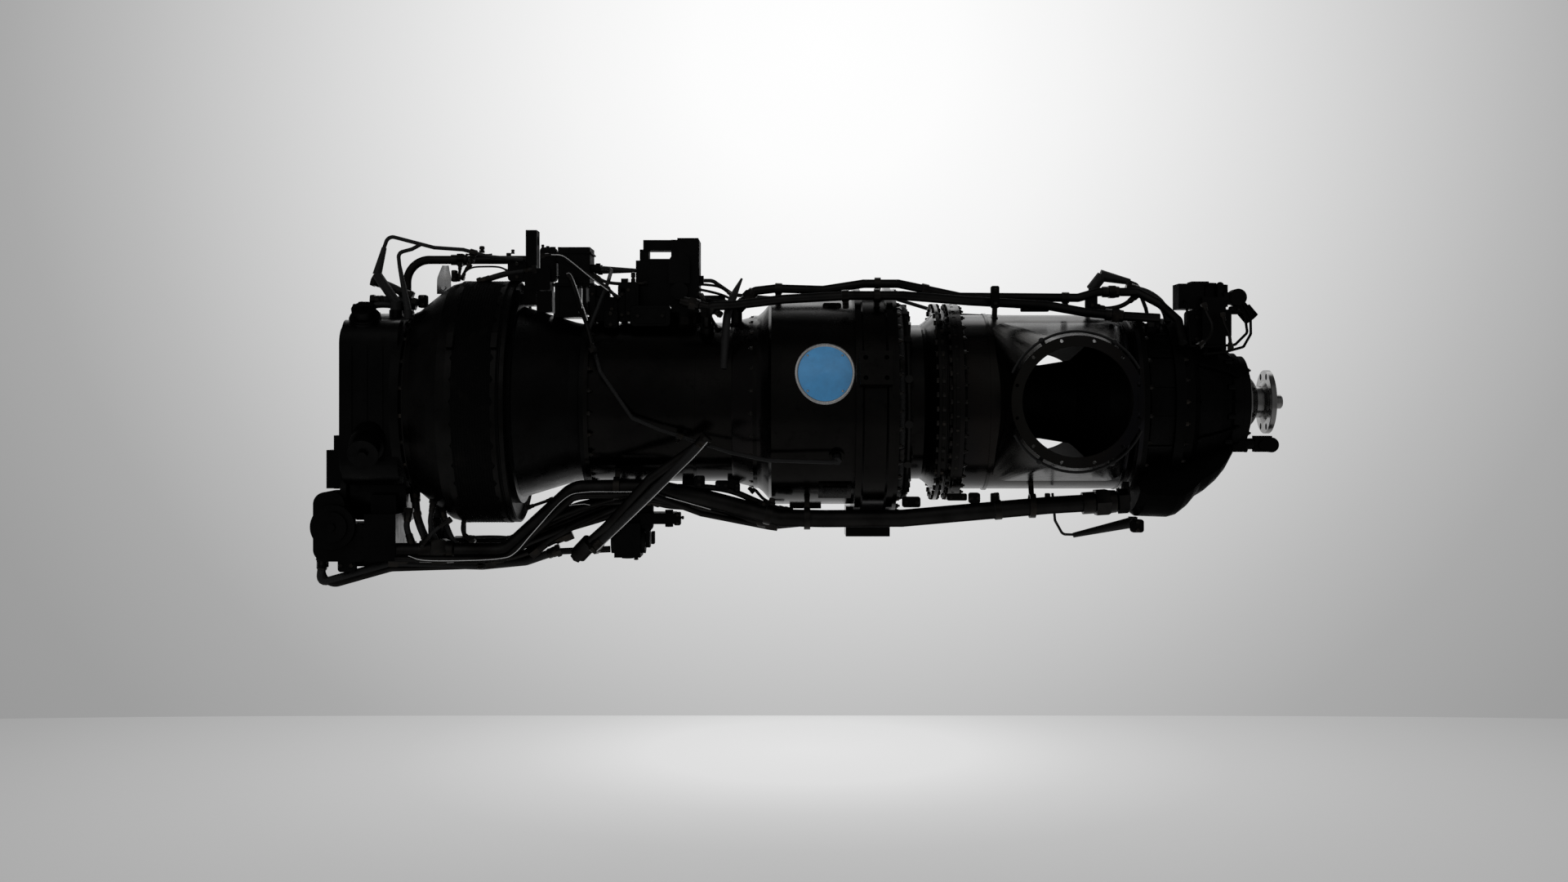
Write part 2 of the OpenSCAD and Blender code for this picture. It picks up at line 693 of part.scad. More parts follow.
module diffuser() {
  x = x_gas_back + 6;
  outer = gas_case_radius - case_wall - 4 - seat_gap;
  hub = 48;
  color("silver") {
    disc(x, x + 8, outer, hub);
    disc(x + 7, x + 32, hub + 6, hub);
    turned([[x - 10, impeller_radius + 4], [x - 10, impeller_radius + 26], [x + 0.5, impeller_radius + 34],
      [x + 0.5, impeller_radius + 4]]);
    round_axis(16, gas_case_radius - 21)
      rotate([0, 90, 0]) translate([0, 0, x + 7.5])
        difference() {
          cylinder(h = 86, r = 9, $fn = 32);
          post([0, 0, 1], 90, 7.4, 32);
        }
  }
}

// ---------- compressor ----------
bleed_x = x_comp_back + 188;
stage_pitch = (compressor_length - 86) / 4;
function stage_x(i) = x_comp_back + 40 + i * stage_pitch;
function hub_radius(i) = 72 + i * 8;

module compressor_case() {
  r = compressor_radius;
  f = x_comp_front;
  b = x_comp_back;
  color("#55524e")
  difference() {
    union() {
      turned([[f, r + 14], [f - 8, r + 14], [f - 8, r], [b + 8, r], [b + 8, r + 12], [b, r + 12],
        [b, r - case_wall], [f, r - case_wall]]);
      post([bleed_x, 0, r - 8], 18, 42, 64);
      disc(f - 120, f - 126, r + 2, r - 2);
      rotate([15, 0, 0]) post([f - 42, 0, r - 4], 9, 15, 48);
      rotate([32, 0, 0]) post([f - 99, 0, r - 4], 9, 15, 48);
      // blocks and brackets on top, feet below
      box([b + 14, -26, r - 8], [32, 52, 49]);
      box([b - 7, -20, r + 14], [28, 40, 27]);
      box([b + 60, -16, r - 6], [14, 32, 94]);
      box([b + 58, -20, r + 62], [22, 40, 12]);
      box([b + 56, -24, -r - 8], [46, 48, 12]);
      for (x = [f - 60, f - 150]) rotate([168, 0, 0]) box([x, -12, r - 4], [24, 24, 26]);
    }
    disc(f + 1, b - 1, r - case_wall);
    post([bleed_x, 0, r - 20], 40, 22, 64);
    flange_holes(24, r + 9, f - 8, f, 3.3, 7.5);
    flange_holes(24, r + 7, b, b + 8, 3.3, 7.5);
  }
}

module compressor_vane_rings() {
  color("gainsboro")
  difference() {
    union() {
      disc(x_comp_back + 14, x_comp_front - 66, axial_tip + 8, axial_tip + 3);
      disc(x_comp_front - 72, x_comp_front - 66, compressor_radius - case_wall - seat_gap, axial_tip + 4);
      disc(x_comp_back + 14, x_comp_back + 20, compressor_radius - case_wall - seat_gap, axial_tip + 4);
      for (i = [0:3])
        blades(20, stage_x(i) + stage_pitch / 2 - 2, hub_radius(i) + 6, axial_tip + 5, 16, 2, -32);
    }
    post([bleed_x, 0, 60], 120, 16, 48);
  }
}

module compressor_rotor() {
  r = core_shaft_radius;
  last = stage_x(3) + 12;
  color("lightgray") {
    turned([[x_train - 16, 9], [x_train - 16, 12], [x_train + train_width + 14, 12],
      [x_train + train_width + 18, 22], [x_inlet_back - 60, 22], [x_inlet_back - 60, r],
      [x_comp_back + 8, r], [x_comp_back + 26, hub_radius(0) - 14], [x_comp_back + 28, hub_radius(0)],
      [last, hub_radius(3)], [last + 2, hub_radius(3) - 14], [last + 8, r], [x_gas_back + 52, r],
      [x_gas_back + 54, r - 5.1], [x_ring_front + 8, r - 5.1], [x_ring_front + 8, 9]]);
    for (i = [0:3])
      blades(18, stage_x(i), hub_radius(i) - 2, axial_tip + 1.5, 18, 2.4, 36);
  }
}

module centrifugal_impeller() {
  f = x_gas_back;
  r = core_shaft_radius + 0.02 + seat_gap / 2;
  tip = impeller_radius;
  color("silver") {
    turned([[f + 3, r], [f + 3, 60], [f - 1, 100], [f - 1, tip], [f - 5, tip], [f - 14, 98],
      [f - 34, 72], [f - 52, 62], [f - 52, r]]);
    for (i = [0:15])
      rotate([i * 22.5, 0, 0])
        rotate([90, 0, 0])
          translate([0, 0, -1.3])
            linear_extrude(2.6)
              polygon([[f - 3, tip - 2], [f - 11, tip], [f - 22, tip - 3], [f - 40, 122],
                [f - 56, axial_tip - 8], [f - 56, 78], [f - 51, 60], [f - 33, 70], [f - 12, 97]]);
  }
}

// ---------- air inlet ----------
module compressor_inlet_case() {
  r = compressor_radius;
  a = accessory_radius;
  b = x_inlet_back;
  s = x_wall;
  color("#44423f")
  difference() {
    union() {
      // cone ahead of the screen
      turned([[x_comp_back, r + 12], [x_comp_back - 8, r + 12], [x_comp_back - 8, r - 4],
        [x_comp_back - 30, r], [b + 10, r + 32], [b + 8, r + 44], [b - 6, r + 44], [b - 6, r + 28],
        [b + 10, r + 26], [x_comp_back - 30, r - 5], [x_comp_back, r - 11]]);
      // back wall of the inlet and the oil tank behind it
      turned([[s + 6, 52], [s + 6, a + 6], [s, a + 6], [s, a - 16],
        [x_acc_front + 8, a - 16], [x_acc_front + 8, a],
        [x_acc_front, a], [x_acc_front, 40], [x_acc_front + 8, 40],
        [x_acc_front + 8, a - 22], [s - 2, a - 22], [s - 2, 52]]);
      // inner cone and bearing hub
      turned(under([[s + 4, 96], [b - 20, 78], [x_comp_back - 40, 72], [x_comp_back - 8, 70]], 5));
      disc(s + 2, b - 16, 60, 52);
      disc(b - 18, b - 12, 76, 52);
      for (i = [0:5])
        rotate([30 + i * 60, 0, 0]) {
          box([s + 4, -4, 92], [b - s + 2, 8, r + 40 - 92 - 10]);
          box([x_comp_back - 60, -3, 70], [26, 6, r - 70]);
        }
      // saddle of brackets on top
      box([b - 4, -60, r + 36], [12, 120, 26]);
      box([b + 6, -34, r + 34], [30, 68, 22]);
      box([b + 37, -30, r + 20], [31, 60, 42]);
      box([x_comp_back - 73, -40, r + 9], [60, 80, 8]);
    }
    turned([[x_comp_back - 90, 77], [b - 2, 84], [b - 2, r + 28], [b + 10, r + 25],
      [x_comp_back - 90, r + 4]]);
    flange_holes(24, r + 7, x_comp_back - 8, x_comp_back, 3.3, 7.5);
    flange_holes(20, a - 7, x_acc_front, x_acc_front + 8, 3.3, 9);
  }
}

module inlet_screen() {
  f = x_screen_front;
  b = x_screen_back;
  r = screen_radius;
  t = accessory_radius - 16 + seat_gap;
  step = (screen_length - 36) / 4;
  color("#6b6965")
  difference() {
    union() {
      disc(f, b, r, r - 1.6, 144);
      turned([[f, compressor_radius + 44 + seat_gap], [f, r], [f + 2, r + 1.5], [f + 10, r + 1.5],
        [f + 12, r - 3], [f + 3, r - 5], [f + 3, compressor_radius + 44 + seat_gap]], 144);
      turned(under([[b + 1, r], [b - 18, r - 5], [b - 40, r - 21], [b - 62, r - 38], [b - 80, r - 53],
        [b - 92, r - 61]], 2.4), 144);
      turned([[b - 89, t], [b - 89, r - 61], [b - 93, r - 60], [b - 93, t]], 144);
      for (x = [f - 10, b + 8])
        turned([[x - 5, r - 1], [x - 5, r + 2.4], [x + 5, r + 2.4], [x + 5, r - 1]], 144);
      // latches of the clamp rings
      for (x = [f - 10, b + 8], a = [62, -62])
        rotate([a, 0, 0]) box([x - 6, -16, r], [12, 32, 9]);
    }
    for (row = [0:4], i = [0:35])
      rotate([(i + (row % 2) / 2) * 10, 0, 0])
        translate([b + 18 + row * step, 0, r - 6])
          cylinder(h = 12, r = min(screen_hole, step / 1.8), $fn = 6);
  }
}

// ---------- accessory gearbox ----------
module accessory_outline(a, b, cut) {
  h = accessory_radius * 0.8 - cut;
  corner = accessory_radius * 0.25;
  intersection() {
    disc(a, b, accessory_radius - cut);
    box([min(a, b) - 1, -h, -accessory_radius], [abs(b - a) + 2, 2 * h, 2 * accessory_radius]);
  }
  box([min(a, b), -h, -h * 0.82], [abs(b - a), 2 * h, h * 1.64]);
  for (y = [-1, 1], z = [-0.82, 0.82])
    translate([0, y * (h - corner + cut), z * h]) disc(a, b, corner - cut, 0, 48);
  translate([0, 0, z_pump]) disc(a, b, lobe_radius - cut);
}

module accessory_gearbox_housing() {
  f = x_acc_front;
  b = x_acc_back + 12;
  r = accessory_radius;
  color("#3d3c3a")
  difference() {
    union() {
      accessory_outline(f, b, 0);
      disc(f, f - 10, r);
      // bosses on top, seats of the filler and the filter, scavenge pump below
      post([f - 17, 30, r - 14], 19, 15, 48);
      post([f - 24, -44, r - 14], 19, 13, 48);
      box([f - 96, 10, r - 14], [16, 60, 20]);
      rotate([filler_angle, 0, 0]) post([filler_x, 0, r - 36], 58, 31, 64);
      rotate([118, 0, 0]) post([f - 56, 0, r - 50], 56, 34, 64);
      box([f - 70, -120, -r - 134], [62, 118, 92]);
      box([f - 66, -80, -r - 60], [50, 80, 54]);
      for (x = [f - 30, f - 60, f - 90]) box([x - 2, -r * 0.8 - 3, -r * 0.6], [4, 8, r * 1.2]);
    }
    difference() {
      accessory_outline(f - 8, b - 1, 7);
      for (z = [z_starter, z_idler, z_pump]) translate([0, 0, z]) disc(f - 7, f - 24, 24);
    }
    disc(f + 1, f - 26, 22 + turning_gap);
    for (z = [z_starter, z_idler, z_pump]) translate([0, 0, z]) disc(f - 12, f - 30, 14 + turning_gap);
    flange_holes(20, r - 7, f - 22, f, 3, 9);
  }
}

module accessory_gearbox_cover() {
  b = x_acc_back;
  r = accessory_radius;
  color("#41403d")
  difference() {
    union() {
      accessory_outline(b + 12, b + 5, 0);
      accessory_outline(b + 5.5, b, 7);
      translate([0, 0, z_starter]) disc(b + 11, b + 34, 46);
      for (z = [z_idler, z_pump]) translate([0, 0, z]) disc(b + 11, b + 32, 24);
      // pads low on the cover
      box([b - 46, 8, -r + 2], [52, 70, 108]);
      box([b - 64, 20, -r + 2], [19, 50, 78]);
    }
    translate([0, 0, z_starter]) {
      disc(b - 1, b + 10, 38.1);
      disc(b + 9, b + 35, 26 + turning_gap);
      for (i = [0:7])
        rotate([i * 45 + 22.5, 0, 0]) translate([0, 0, starter_bolt_circle / 2]) xrod(b - 1, b + 20, 4.2, 24);
    }
    for (z = [z_idler, z_pump]) translate([0, 0, z]) disc(b + 13, b + 33, 14 + turning_gap);
  }
}

module accessory_input_pinion() {
  color("gainsboro") {
    spur(x_train, train_width, pinion_teeth, accessory_module, 12 + seat_gap / 2, 0);
    disc(x_train - 8, x_train + 0.5, 17, 12 + seat_gap / 2);
  }
}

module drive_gear(z, teeth, phase, hub, back, bore) {
  translate([0, 0, z]) {
    difference() {
      union() {
        spur(x_train, train_width, teeth, accessory_module, 0, phase);
        disc(x_train - 1, x_acc_front - 13, 14);
        disc(back, x_train + 1, hub);
      }
      if (bore > 0) disc(back - 1, x_train - 20, bore);
      for (i = [0:5])
        rotate([i * 60, 0, 0]) translate([0, 0, (hub + accessory_module * teeth / 2) / 2 - 1])
          xrod(x_train - 1, x_train + train_width + 1, (accessory_module * teeth / 2 - hub) / 4, 32);
    }
  }
}

starter_phase = mesh(180, pinion_teeth, 0, starter_teeth);
idler_phase = mesh(0, pinion_teeth, 0, pump_teeth);
pump_phase = mesh(0, pump_teeth, idler_phase, pump_teeth);

module starter_drive_gear() {
  color("silver") drive_gear(z_starter, starter_teeth, starter_phase, 26, x_acc_back + 12.5, 15);
}

module fuel_idler_gear() {
  color("silver") drive_gear(z_idler, pump_teeth, idler_phase, 14, x_acc_back + 14, 0);
}

module fuel_pump_gear() {
  color("silver") drive_gear(z_pump, pump_teeth, pump_phase, 14, x_acc_back + 14, 0);
}

// ---------- accessories ----------
module fuel_control_unit() {
  b = x_acc_back;
  z = z_pump - 5.5;
  color("#2f2e2c") {
    // drum behind the gearbox, wrapped under its lobe
    rounded_block([b - 62, -92, z - 137], [61.7, 96, 137], 24);
    rounded_block([b - 40, -92, z - 137], [81, 96, 74], 12);
    translate([0, -40, z_pump - 8]) disc(b, b - 12, 40);
    translate([b - 21, -104, z - 68]) rotate([-90, 0, 0]) cylinder(h = 14, r = 44, $fn = 80);
    translate([b - 21, -112, z - 68]) rotate([-90, 0, 0]) cylinder(h = 10, r = 30, $fn = 64);
    translate([b - 21, -119, z - 68]) rotate([-90, 0, 0]) cylinder(h = 10, r = 9, $fn = 6);
    post([b - 50, -64, z - 150], 24, 12, 6);
    box([b - 16, -50, z - 150], [60, 40, 24]);
    box([b - 16, -50, z - 150], [84, 40, 15.3]);
    for (h = [-36, -66, -96])
      translate([b - 70, -50, z + h]) rotate([0, 90, 0]) cylinder(h = 12, r = 10, $fn = 6);
  }
}

// block with four rounded edges along Y, from its low corner
module rounded_block(low, size, r) {
  translate(low) {
    box([r, 0, 0], [size.x - 2 * r, size.y, size.z]);
    box([0, 0, r], [size.x, size.y, size.z - 2 * r]);
    for (x = [r, size.x - r], z = [r, size.z - r])
      translate([x, 0, z]) rotate([-90, 0, 0]) cylinder(h = size.y, r = r, $fn = 48);
  }
}

module oil_filter_housing() {
  color("#2f2e2c")
  rotate([118, 0, 0])
    translate([x_acc_front - 56, 0, accessory_radius + 6]) {
      cylinder(h = 26, r = 27, $fn = 64);
      post([0, 0, 25], 6, 30, 64);
      post([0, 0, 30], 9, 10, 6);
    }
}

filler_angle = 34;
filler_x = x_acc_front - 70;

module oil_filler_neck() {
  color("#2f2e2c")
  rotate([filler_angle, 0, 0])
    translate([filler_x, 0, accessory_radius + 22])
      difference() {
        union() {
          cylinder(h = 4, r = 29, $fn = 64);
          post([0, 0, 3], 11, 22, 64);
        }
        post([0, 0, -1], 30, 17, 64);
      }
}

module oil_filler_cap() {
  color("#403f3c")
  rotate([filler_angle, 0, 0])
    translate([filler_x, 0, accessory_radius + 36]) {
      cylinder(h = 7, r = 24, $fn = 64);
      post([0, 0, -9], 10, 17 - turning_gap, 64);
      box([-20, -4, 6], [40, 8, 8]);
    }
}

module fuel_heater() {
  x = x_comp_back + 50;
  r = compressor_radius;
  color("#2f2e2c") {
    box([x, -58, -r - 150], [52, 74, 68]);
    translate([x - 8, -20, -r - 116]) rotate([0, 90, 0]) cylinder(h = 68, r = 28, $fn = 48);
    box([x + 8, -20, -r - 84], [12, 40, 76]);
    box([x + 38, -20, -r - 84], [12, 40, 76]);
    box([x + 61, -30, -r - 132], [8, 30, 52]);
    box([x + 50, -24, -r - 122], [14, 18, 16]);
    box([x + 51, -48, -r - 84], [70, 60, 22]);
    post([x + 108, -34, -r - 90], 34, 8, 32);
    post([x + 24, -20, -r - 154], 10, 12, 32);
  }
}

module ignition_exciter() {
  x = x_comp_back - 64;
  z = compressor_radius + 76;
  color("#33322f") {
    box([x, -42, z], [64, 84, 73]);
    box([x - 3, -45, z + 12], [70, 90, 3]);
    box([x - 3, -45, z + 60], [70, 90, 3]);
    for (k = [-7, 48]) box([x + k, -36, compressor_radius + 17], [8, 72, 62]);
    box([x - 12, -40, z - 4], [84, 80, 5]);
    box([x + 2, -30, compressor_radius + 17], [38, 60, 62]);
    translate([x - 14, -8, z + 50]) rotate([0, 90, 0]) cylinder(h = 15, r = 7, $fn = 32);
    post([x - 14, -8, z + 46], 30, 5.5, 32);
    for (y = [-22, 22]) {
      translate([x + 63, y, z + 32]) rotate([0, 90, 0]) cylinder(h = 12, r = 8, $fn = 32);
      translate([x + 74, y, z + 32]) rotate([0, 90, 0]) cylinder(h = 9, r = 10, $fn = 6);
    }
  }
}

module lifting_bracket() {
  x = x_inlet_back + 14;
  z = compressor_radius + 56;
  color("#33322f")
  difference() {
    union() {
      box([x, -22, z], [22, 44, 129]);
      box([x - 4, -28, z], [26, 56, 8]);
      box([x, -30, z + 8], [50, 60, 44]);
    }
    translate([x - 1, 0, z + 108]) rotate([0, 90, 0]) cylinder(h = 24, r = 10, $fn = 32);
  }
}

module bleed_valve_body() {
  base = compressor_radius + 10;
  top = compressor_radius + 168;
  color("#383734")
  difference() {
    union() {
      post([bleed_x, 0, base], 10, 42, 64);
      box([bleed_x - 26, -38, base + 9], [56, 76, top - base - 13]);
      box([bleed_x - 14, -32, base + 20], [42, 64, top - base - 20]);
      // stepped actuator beside it, joined above and below a slot
      box([bleed_x - 98, -20, base + 22], [26, 40, 92]);
      box([bleed_x - 90, -20, base + 22], [18, 40, 114]);
      box([bleed_x - 73, -24, base + 22], [48, 48, 95]);
      box([bleed_x - 83, -22, base + 134], [67, 44, 21]);
      translate([bleed_x - 8, -62, base + 50]) rotate([-90, 0, 0]) cylinder(h = 26, r = 17, $fn = 48);
      box([bleed_x - 30, -52, base + 66], [42, 15, 42]);
      translate([bleed_x - 9, -52, base + 106]) rotate([-90, 0, 0]) cylinder(h = 15, r = 21, $fn = 48);
      translate([bleed_x + 29, -12, base + 74]) rotate([0, 90, 0]) cylinder(h = 9, r = 10, $fn = 6);
    }
    post([bleed_x, 0, base - 1], 63, 22.4, 64);
    post([bleed_x, 0, base + 60], 50, 10, 48);
    for (a = [45:90:315])
      post([bleed_x + 36 * cos(a), 36 * sin(a), base - 1], 10, 2.6, 20);
  }
}

// slides up into the body when air is bled off
module bleed_valve_piston() {
  base = compressor_radius + 10;
  color("silver")
    translate([bleed_x, 0, 0]) {
      post([0, 0, base - 22], 6, 21.6, 64);
      post([0, 0, base - 17], 40, 7, 48);
      post([0, 0, base + 22], 22, 22, 64);
      post([0, 0, base + 43], 30, 9.6, 48);
    }
}

module propeller_governor() {
  x = x_nose - 106;
  z = cavity;
  color("#31302d") {
    box([x, -62, z], [62, 60, 12]);
    post([x + 36, -32, z + 11], 30, 26, 48);
    post([x + 36, -32, z + 40], 14, 29, 48);
    post([x + 30, -34, z + 53], 34, 20, 48);
    post([x + 58, -32, z + 40], 44, 15, 48);
    translate([x + 58, -32, z + 82]) sphere(r = 8, $fn = 32);
    // body on the near side
    box([x + 8, -96, z - 44], [46, 10, 60]);
    box([x + 8, -96, z - 20], [46, 33.5, 76]);
    box([x + 8, -96, z + 4], [46, 36, 52]);
    box([x + 40, -92, z - 20], [26, 30, 52]);
    // overspeed governor at the back
    box([x - 34, -74, z + 34], [50, 56, 50]);
    box([x - 6, -64, z + 82], [34, 42, 7]);
    box([x + 4, -70, z + 20], [30, 44, 30]);
    // servo valve leaning forward
    translate([x + 88, -44, z + 58]) rotate([90, 0, 0]) cylinder(h = 30, r = 17, center = true, $fn = 48);
    box([x + 60, -56, z + 44], [30, 26, 24]);
    translate([x + 88, -46, z + 50])
      rotate([0, 140, 0]) {
        cylinder(h = 40, r = 12, $fn = 48);
        post([0, 0, 20], 26, 15.5, 48);
      }
    // thin sensing tubes
    pipe([[x + 64, -76, z + 30], [x + 92, -90, z + 26], [x + 96, -96, z - 14], [x + 70, -104, z - 38],
      [x + 20, -108, z - 42], [x - 20, -112, z - 40]], 2.6, 9);
    pipe([[x + 98, -58, z + 44], [x + 108, -74, z + 20], [x + 106, -84, z - 16], [x + 88, -98, z - 42],
      [x + 50, -112, z - 52], [x + 10, -118, z - 56]], 2.6, 9);
    pipe([[x - 24, -72, z + 50], [x - 24, -94, z + 44], [x - 20, -108, z - 10], [x - 20, -112, z - 42]],
      2.6, 9);
    rod([x + 9, -118, z - 56.6], [x + 14, -94, z - 36], 5, 6);
  }
}

module speed_sensor() {
  color("#31302d") {
    translate([0, -35, -84]) disc(x_nose, x_seal - 8, 11, 0, 48);
    box([x_seal - 9, -48, -100], [34, 24, 32]);
    translate([x_seal + 24, -36, -86]) rotate([90, 0, 0]) cylinder(h = 22, r = 15, center = true, $fn = 48);
    translate([x_seal + 6, -40, -86]) rotate([90, 0, 0]) cylinder(h = 16, r = 9, $fn = 32);
    translate([0, -35, -86]) disc(x_nose, x_nose + 4, 15, 0, 48);
  }
}

// ---------- moving pieces of the reduction gearbox ----------
pilot_reach = 26;

module propeller_shaft() {
  r = shaft_radius;
  front = x_two + width_two + 6;
  back = x_two - 14;
  color("silver")
  difference() {
    union() {
      turned([[pilot_reach, 6], [pilot_reach, 11], [pilot_reach - 3, 14], [2, 14], [0, 20],
        [0, flange_radius - 1], [-1, flange_radius], [-flange_thickness + 1, flange_radius],
        [-flange_thickness, flange_radius - 1], [-flange_thickness, 42],
        [-flange_thickness - 6, r], [x_nose - 1, r], [x_nose - 1, r + 8], [front + 12, r + 8],
        [front + 10, 60], [front + 8, arm_two + 35], [front, arm_two + 35], [front, 6]]);
      disc(back, back + 8, arm_two + 32, second_module * sun_two / 2 + 7);
      for (i = [0:4]) {
        rotate([180 - i * 72, 0, 0]) translate([0, 0, arm_two]) xrod(back + 1, front + 1, pin_two, 64);
        rotate([180 - i * 72 - 36, 0, 0]) translate([0, 0, arm_two + 20]) xrod(back + 1, front + 1, 8.5, 32);
      }
    }
    round_axis(flange_bolt_count, flange_bolt_circle / 2, 180 / flange_bolt_count)
      xrod(-flange_thickness - 1, 1, flange_hole_radius, 48);
  }
}

module second_planet(i) {
  phi = i * 72;
  color("gainsboro")
    rotate([phi, 0, 0])
      translate([0, 0, -arm_two])
        rotate([-phi, 0, 0])
          spur(x_two, width_two, planet_two, second_module, pin_two + pin_gap,
            mesh(phi, sun_two, 0, planet_two));
}

module second_stage_planet_1() second_planet(0);
module second_stage_planet_2() second_planet(1);
module second_stage_planet_3() second_planet(2);
module second_stage_planet_4() second_planet(3);
module second_stage_planet_5() second_planet(4);

module first_stage_carrier() {
  front = x_one + width_one + 5;
  back = x_one - 13;
  color("silver") {
    spur(x_two, width_two, sun_two, second_module, 14, 0);
    turned([[x_two + 0.5, 14], [x_two + 0.5, 29], [front + 7, 29], [front + 7, arm_one + 14],
      [front, arm_one + 14], [front, 22], [front + 9, 14]]);
    disc(back, back + 8, arm_one + 14, 22);
    for (i = [0:2]) {
      rotate([180 + i * 120, 0, 0]) translate([0, 0, arm_one]) xrod(back + 1, front + 1, pin_one, 64);
      rotate([180 + i * 120 + 60, 0, 0]) translate([0, 0, arm_one + 3]) xrod(back + 1, front + 1, 9, 32);
    }
  }
}

module first_planet(i) {
  phi = i * 120;
  color("gainsboro")
    rotate([phi, 0, 0])
      translate([0, 0, -arm_one])
        rotate([-phi, 0, 0])
          spur(x_one, width_one, planet_one, first_module, pin_one + pin_gap,
            mesh(phi, sun_one, 0, planet_one));
}

module first_stage_planet_1() first_planet(0);
module first_stage_planet_2() first_planet(1);
module first_stage_planet_3() first_planet(2);

// ---------- tubes ----------
module scavenge_tube() {
  r = scavenge_tube_radius;
  c = compressor_radius;
  out = mount_ring_radius + r + 4;
  p = [at(x_gear_back - 18, 153, duct_radius + r + 26), at(x_port - 30, 153, duct_radius + r + 36),
    at(x_ring_front + 20, 155, out), at(x_ring_back - 60, 155.5, out), at(x_gas_back + 16, 155.5, out - 2),
    at(x_comp_front - 106, 151, c + r + 38), at(x_comp_back + 130, 148, c + r + 22),
    at(x_comp_back - 22, 148, c + r + 24), at(x_screen_front - 4, 161, screen_radius + 70),
    at(x_acc_front - 7.7, 161, screen_radius + 70)];
  color("#3b3a37") {
    pipe(p, r, 50);
    tube_nut(p[0], p[1], r, 20);
    translate([x_gear_back - 26, 0, 0])
      rotate([153, 0, 0]) box([0, -12, duct_radius + 7], [12, 24, r + 24]);
  }
}

module oil_pressure_tube() {
  r = oil_tube_radius;
  c = compressor_radius;
  g = gearbox_radius;
  p = [at(x_comp_front - 42, 15, c + 30), at(x_comp_front - 6, 15, c + 68),
    at(x_gas_back + 8, 15, gas_case_radius + 27),
    at(x_ring_back - 60, 15, gas_case_radius + 24), at(x_ring_back + 20, 17, mount_ring_radius + r + 5),
    at(x_ring_front + 15, 17, mount_ring_radius + r + 5), at(x_duct_back - 46, 15.5, duct_radius + 54),
    at(x_duct_back + 11, 16, duct_radius + 42), at(x_port + 35, 16, duct_radius + 40),
    at(x_gear_back - 69, 15, duct_radius + 51), at(x_gear_back + 8, 15, duct_radius + 51),
    at(x_split - 22, 20, g + 38), at(x_split + 6, 34, g + 24), at(x_split + 6, 52, g + 18)];
  color("#4a4946") {
    pipe(p, r, 15);
    tube_nut(p[0], p[1], r, 22);
    rotate([15, 0, 0]) post([x_comp_front - 42, 0, c + 5], 28, r * 1.3, 32);
  }
}

module compressor_air_tube() {
  r = oil_tube_radius + 0.5;
  c = compressor_radius;
  p = [at(x_comp_front - 99, 32, c + 16), at(x_comp_front - 99, 32, c + 60),
    at(x_comp_front - 43, 32, c + 63), at(x_gas_back + 25, 32, gas_case_radius + 30),
    at(x_ring_back - 10, 32, mount_ring_radius + r + 4), at(x_ring_front + 21, 32, mount_ring_radius + r + 4),
    at(x_duct_back + 22, 31, duct_radius + 55), at(x_port - 34, 27, duct_radius + 38),
    at(x_port + 46, 28, duct_radius + 24), at(x_gear_back - 34, 30, duct_radius + 20),
    at(x_gear_back + 44, 30, duct_radius + 15)];
  color("#4a4946") {
    pipe(p, r, 18);
    tube_nut(p[1], p[0], r, 18);
    rotate([32, 0, 0]) post([x_comp_front - 99, 0, c + 5], 12, r * 1.5, 32);
    rotate([29, 0, 0]) box([x_gear_back + 24, -8, gearbox_radius + 4], [12, 16, 16]);
    // stub towards the bleed valve
    rod(at(x_comp_front - 150, 29, c + 66), at(x_comp_front - 92, 32, c + 58), r - 1, 48);
  }
}

module breather_tube() {
  x = x_acc_front - 17;
  top = accessory_radius + 111;
  color("#3b3a37") {
    pipe([[x, 30, accessory_radius + 5], [x, 30, top], [x_inlet_back + 8, 30, top]], oil_tube_radius, 46);
    post([x, 30, accessory_radius + 5], 16, 14, 6);
    box([x_inlet_back + 4.5, 29, compressor_radius + 62.3], [5, 16, 74]);
    post([x_acc_front + 122, 30, top + 6], 13, 5, 6);
    box([x_acc_front + 118, 26, top + 3], [26, 8, 8]);
    post([x_acc_front + 190, 30, top + 6], 8, 5, 6);
  }
}

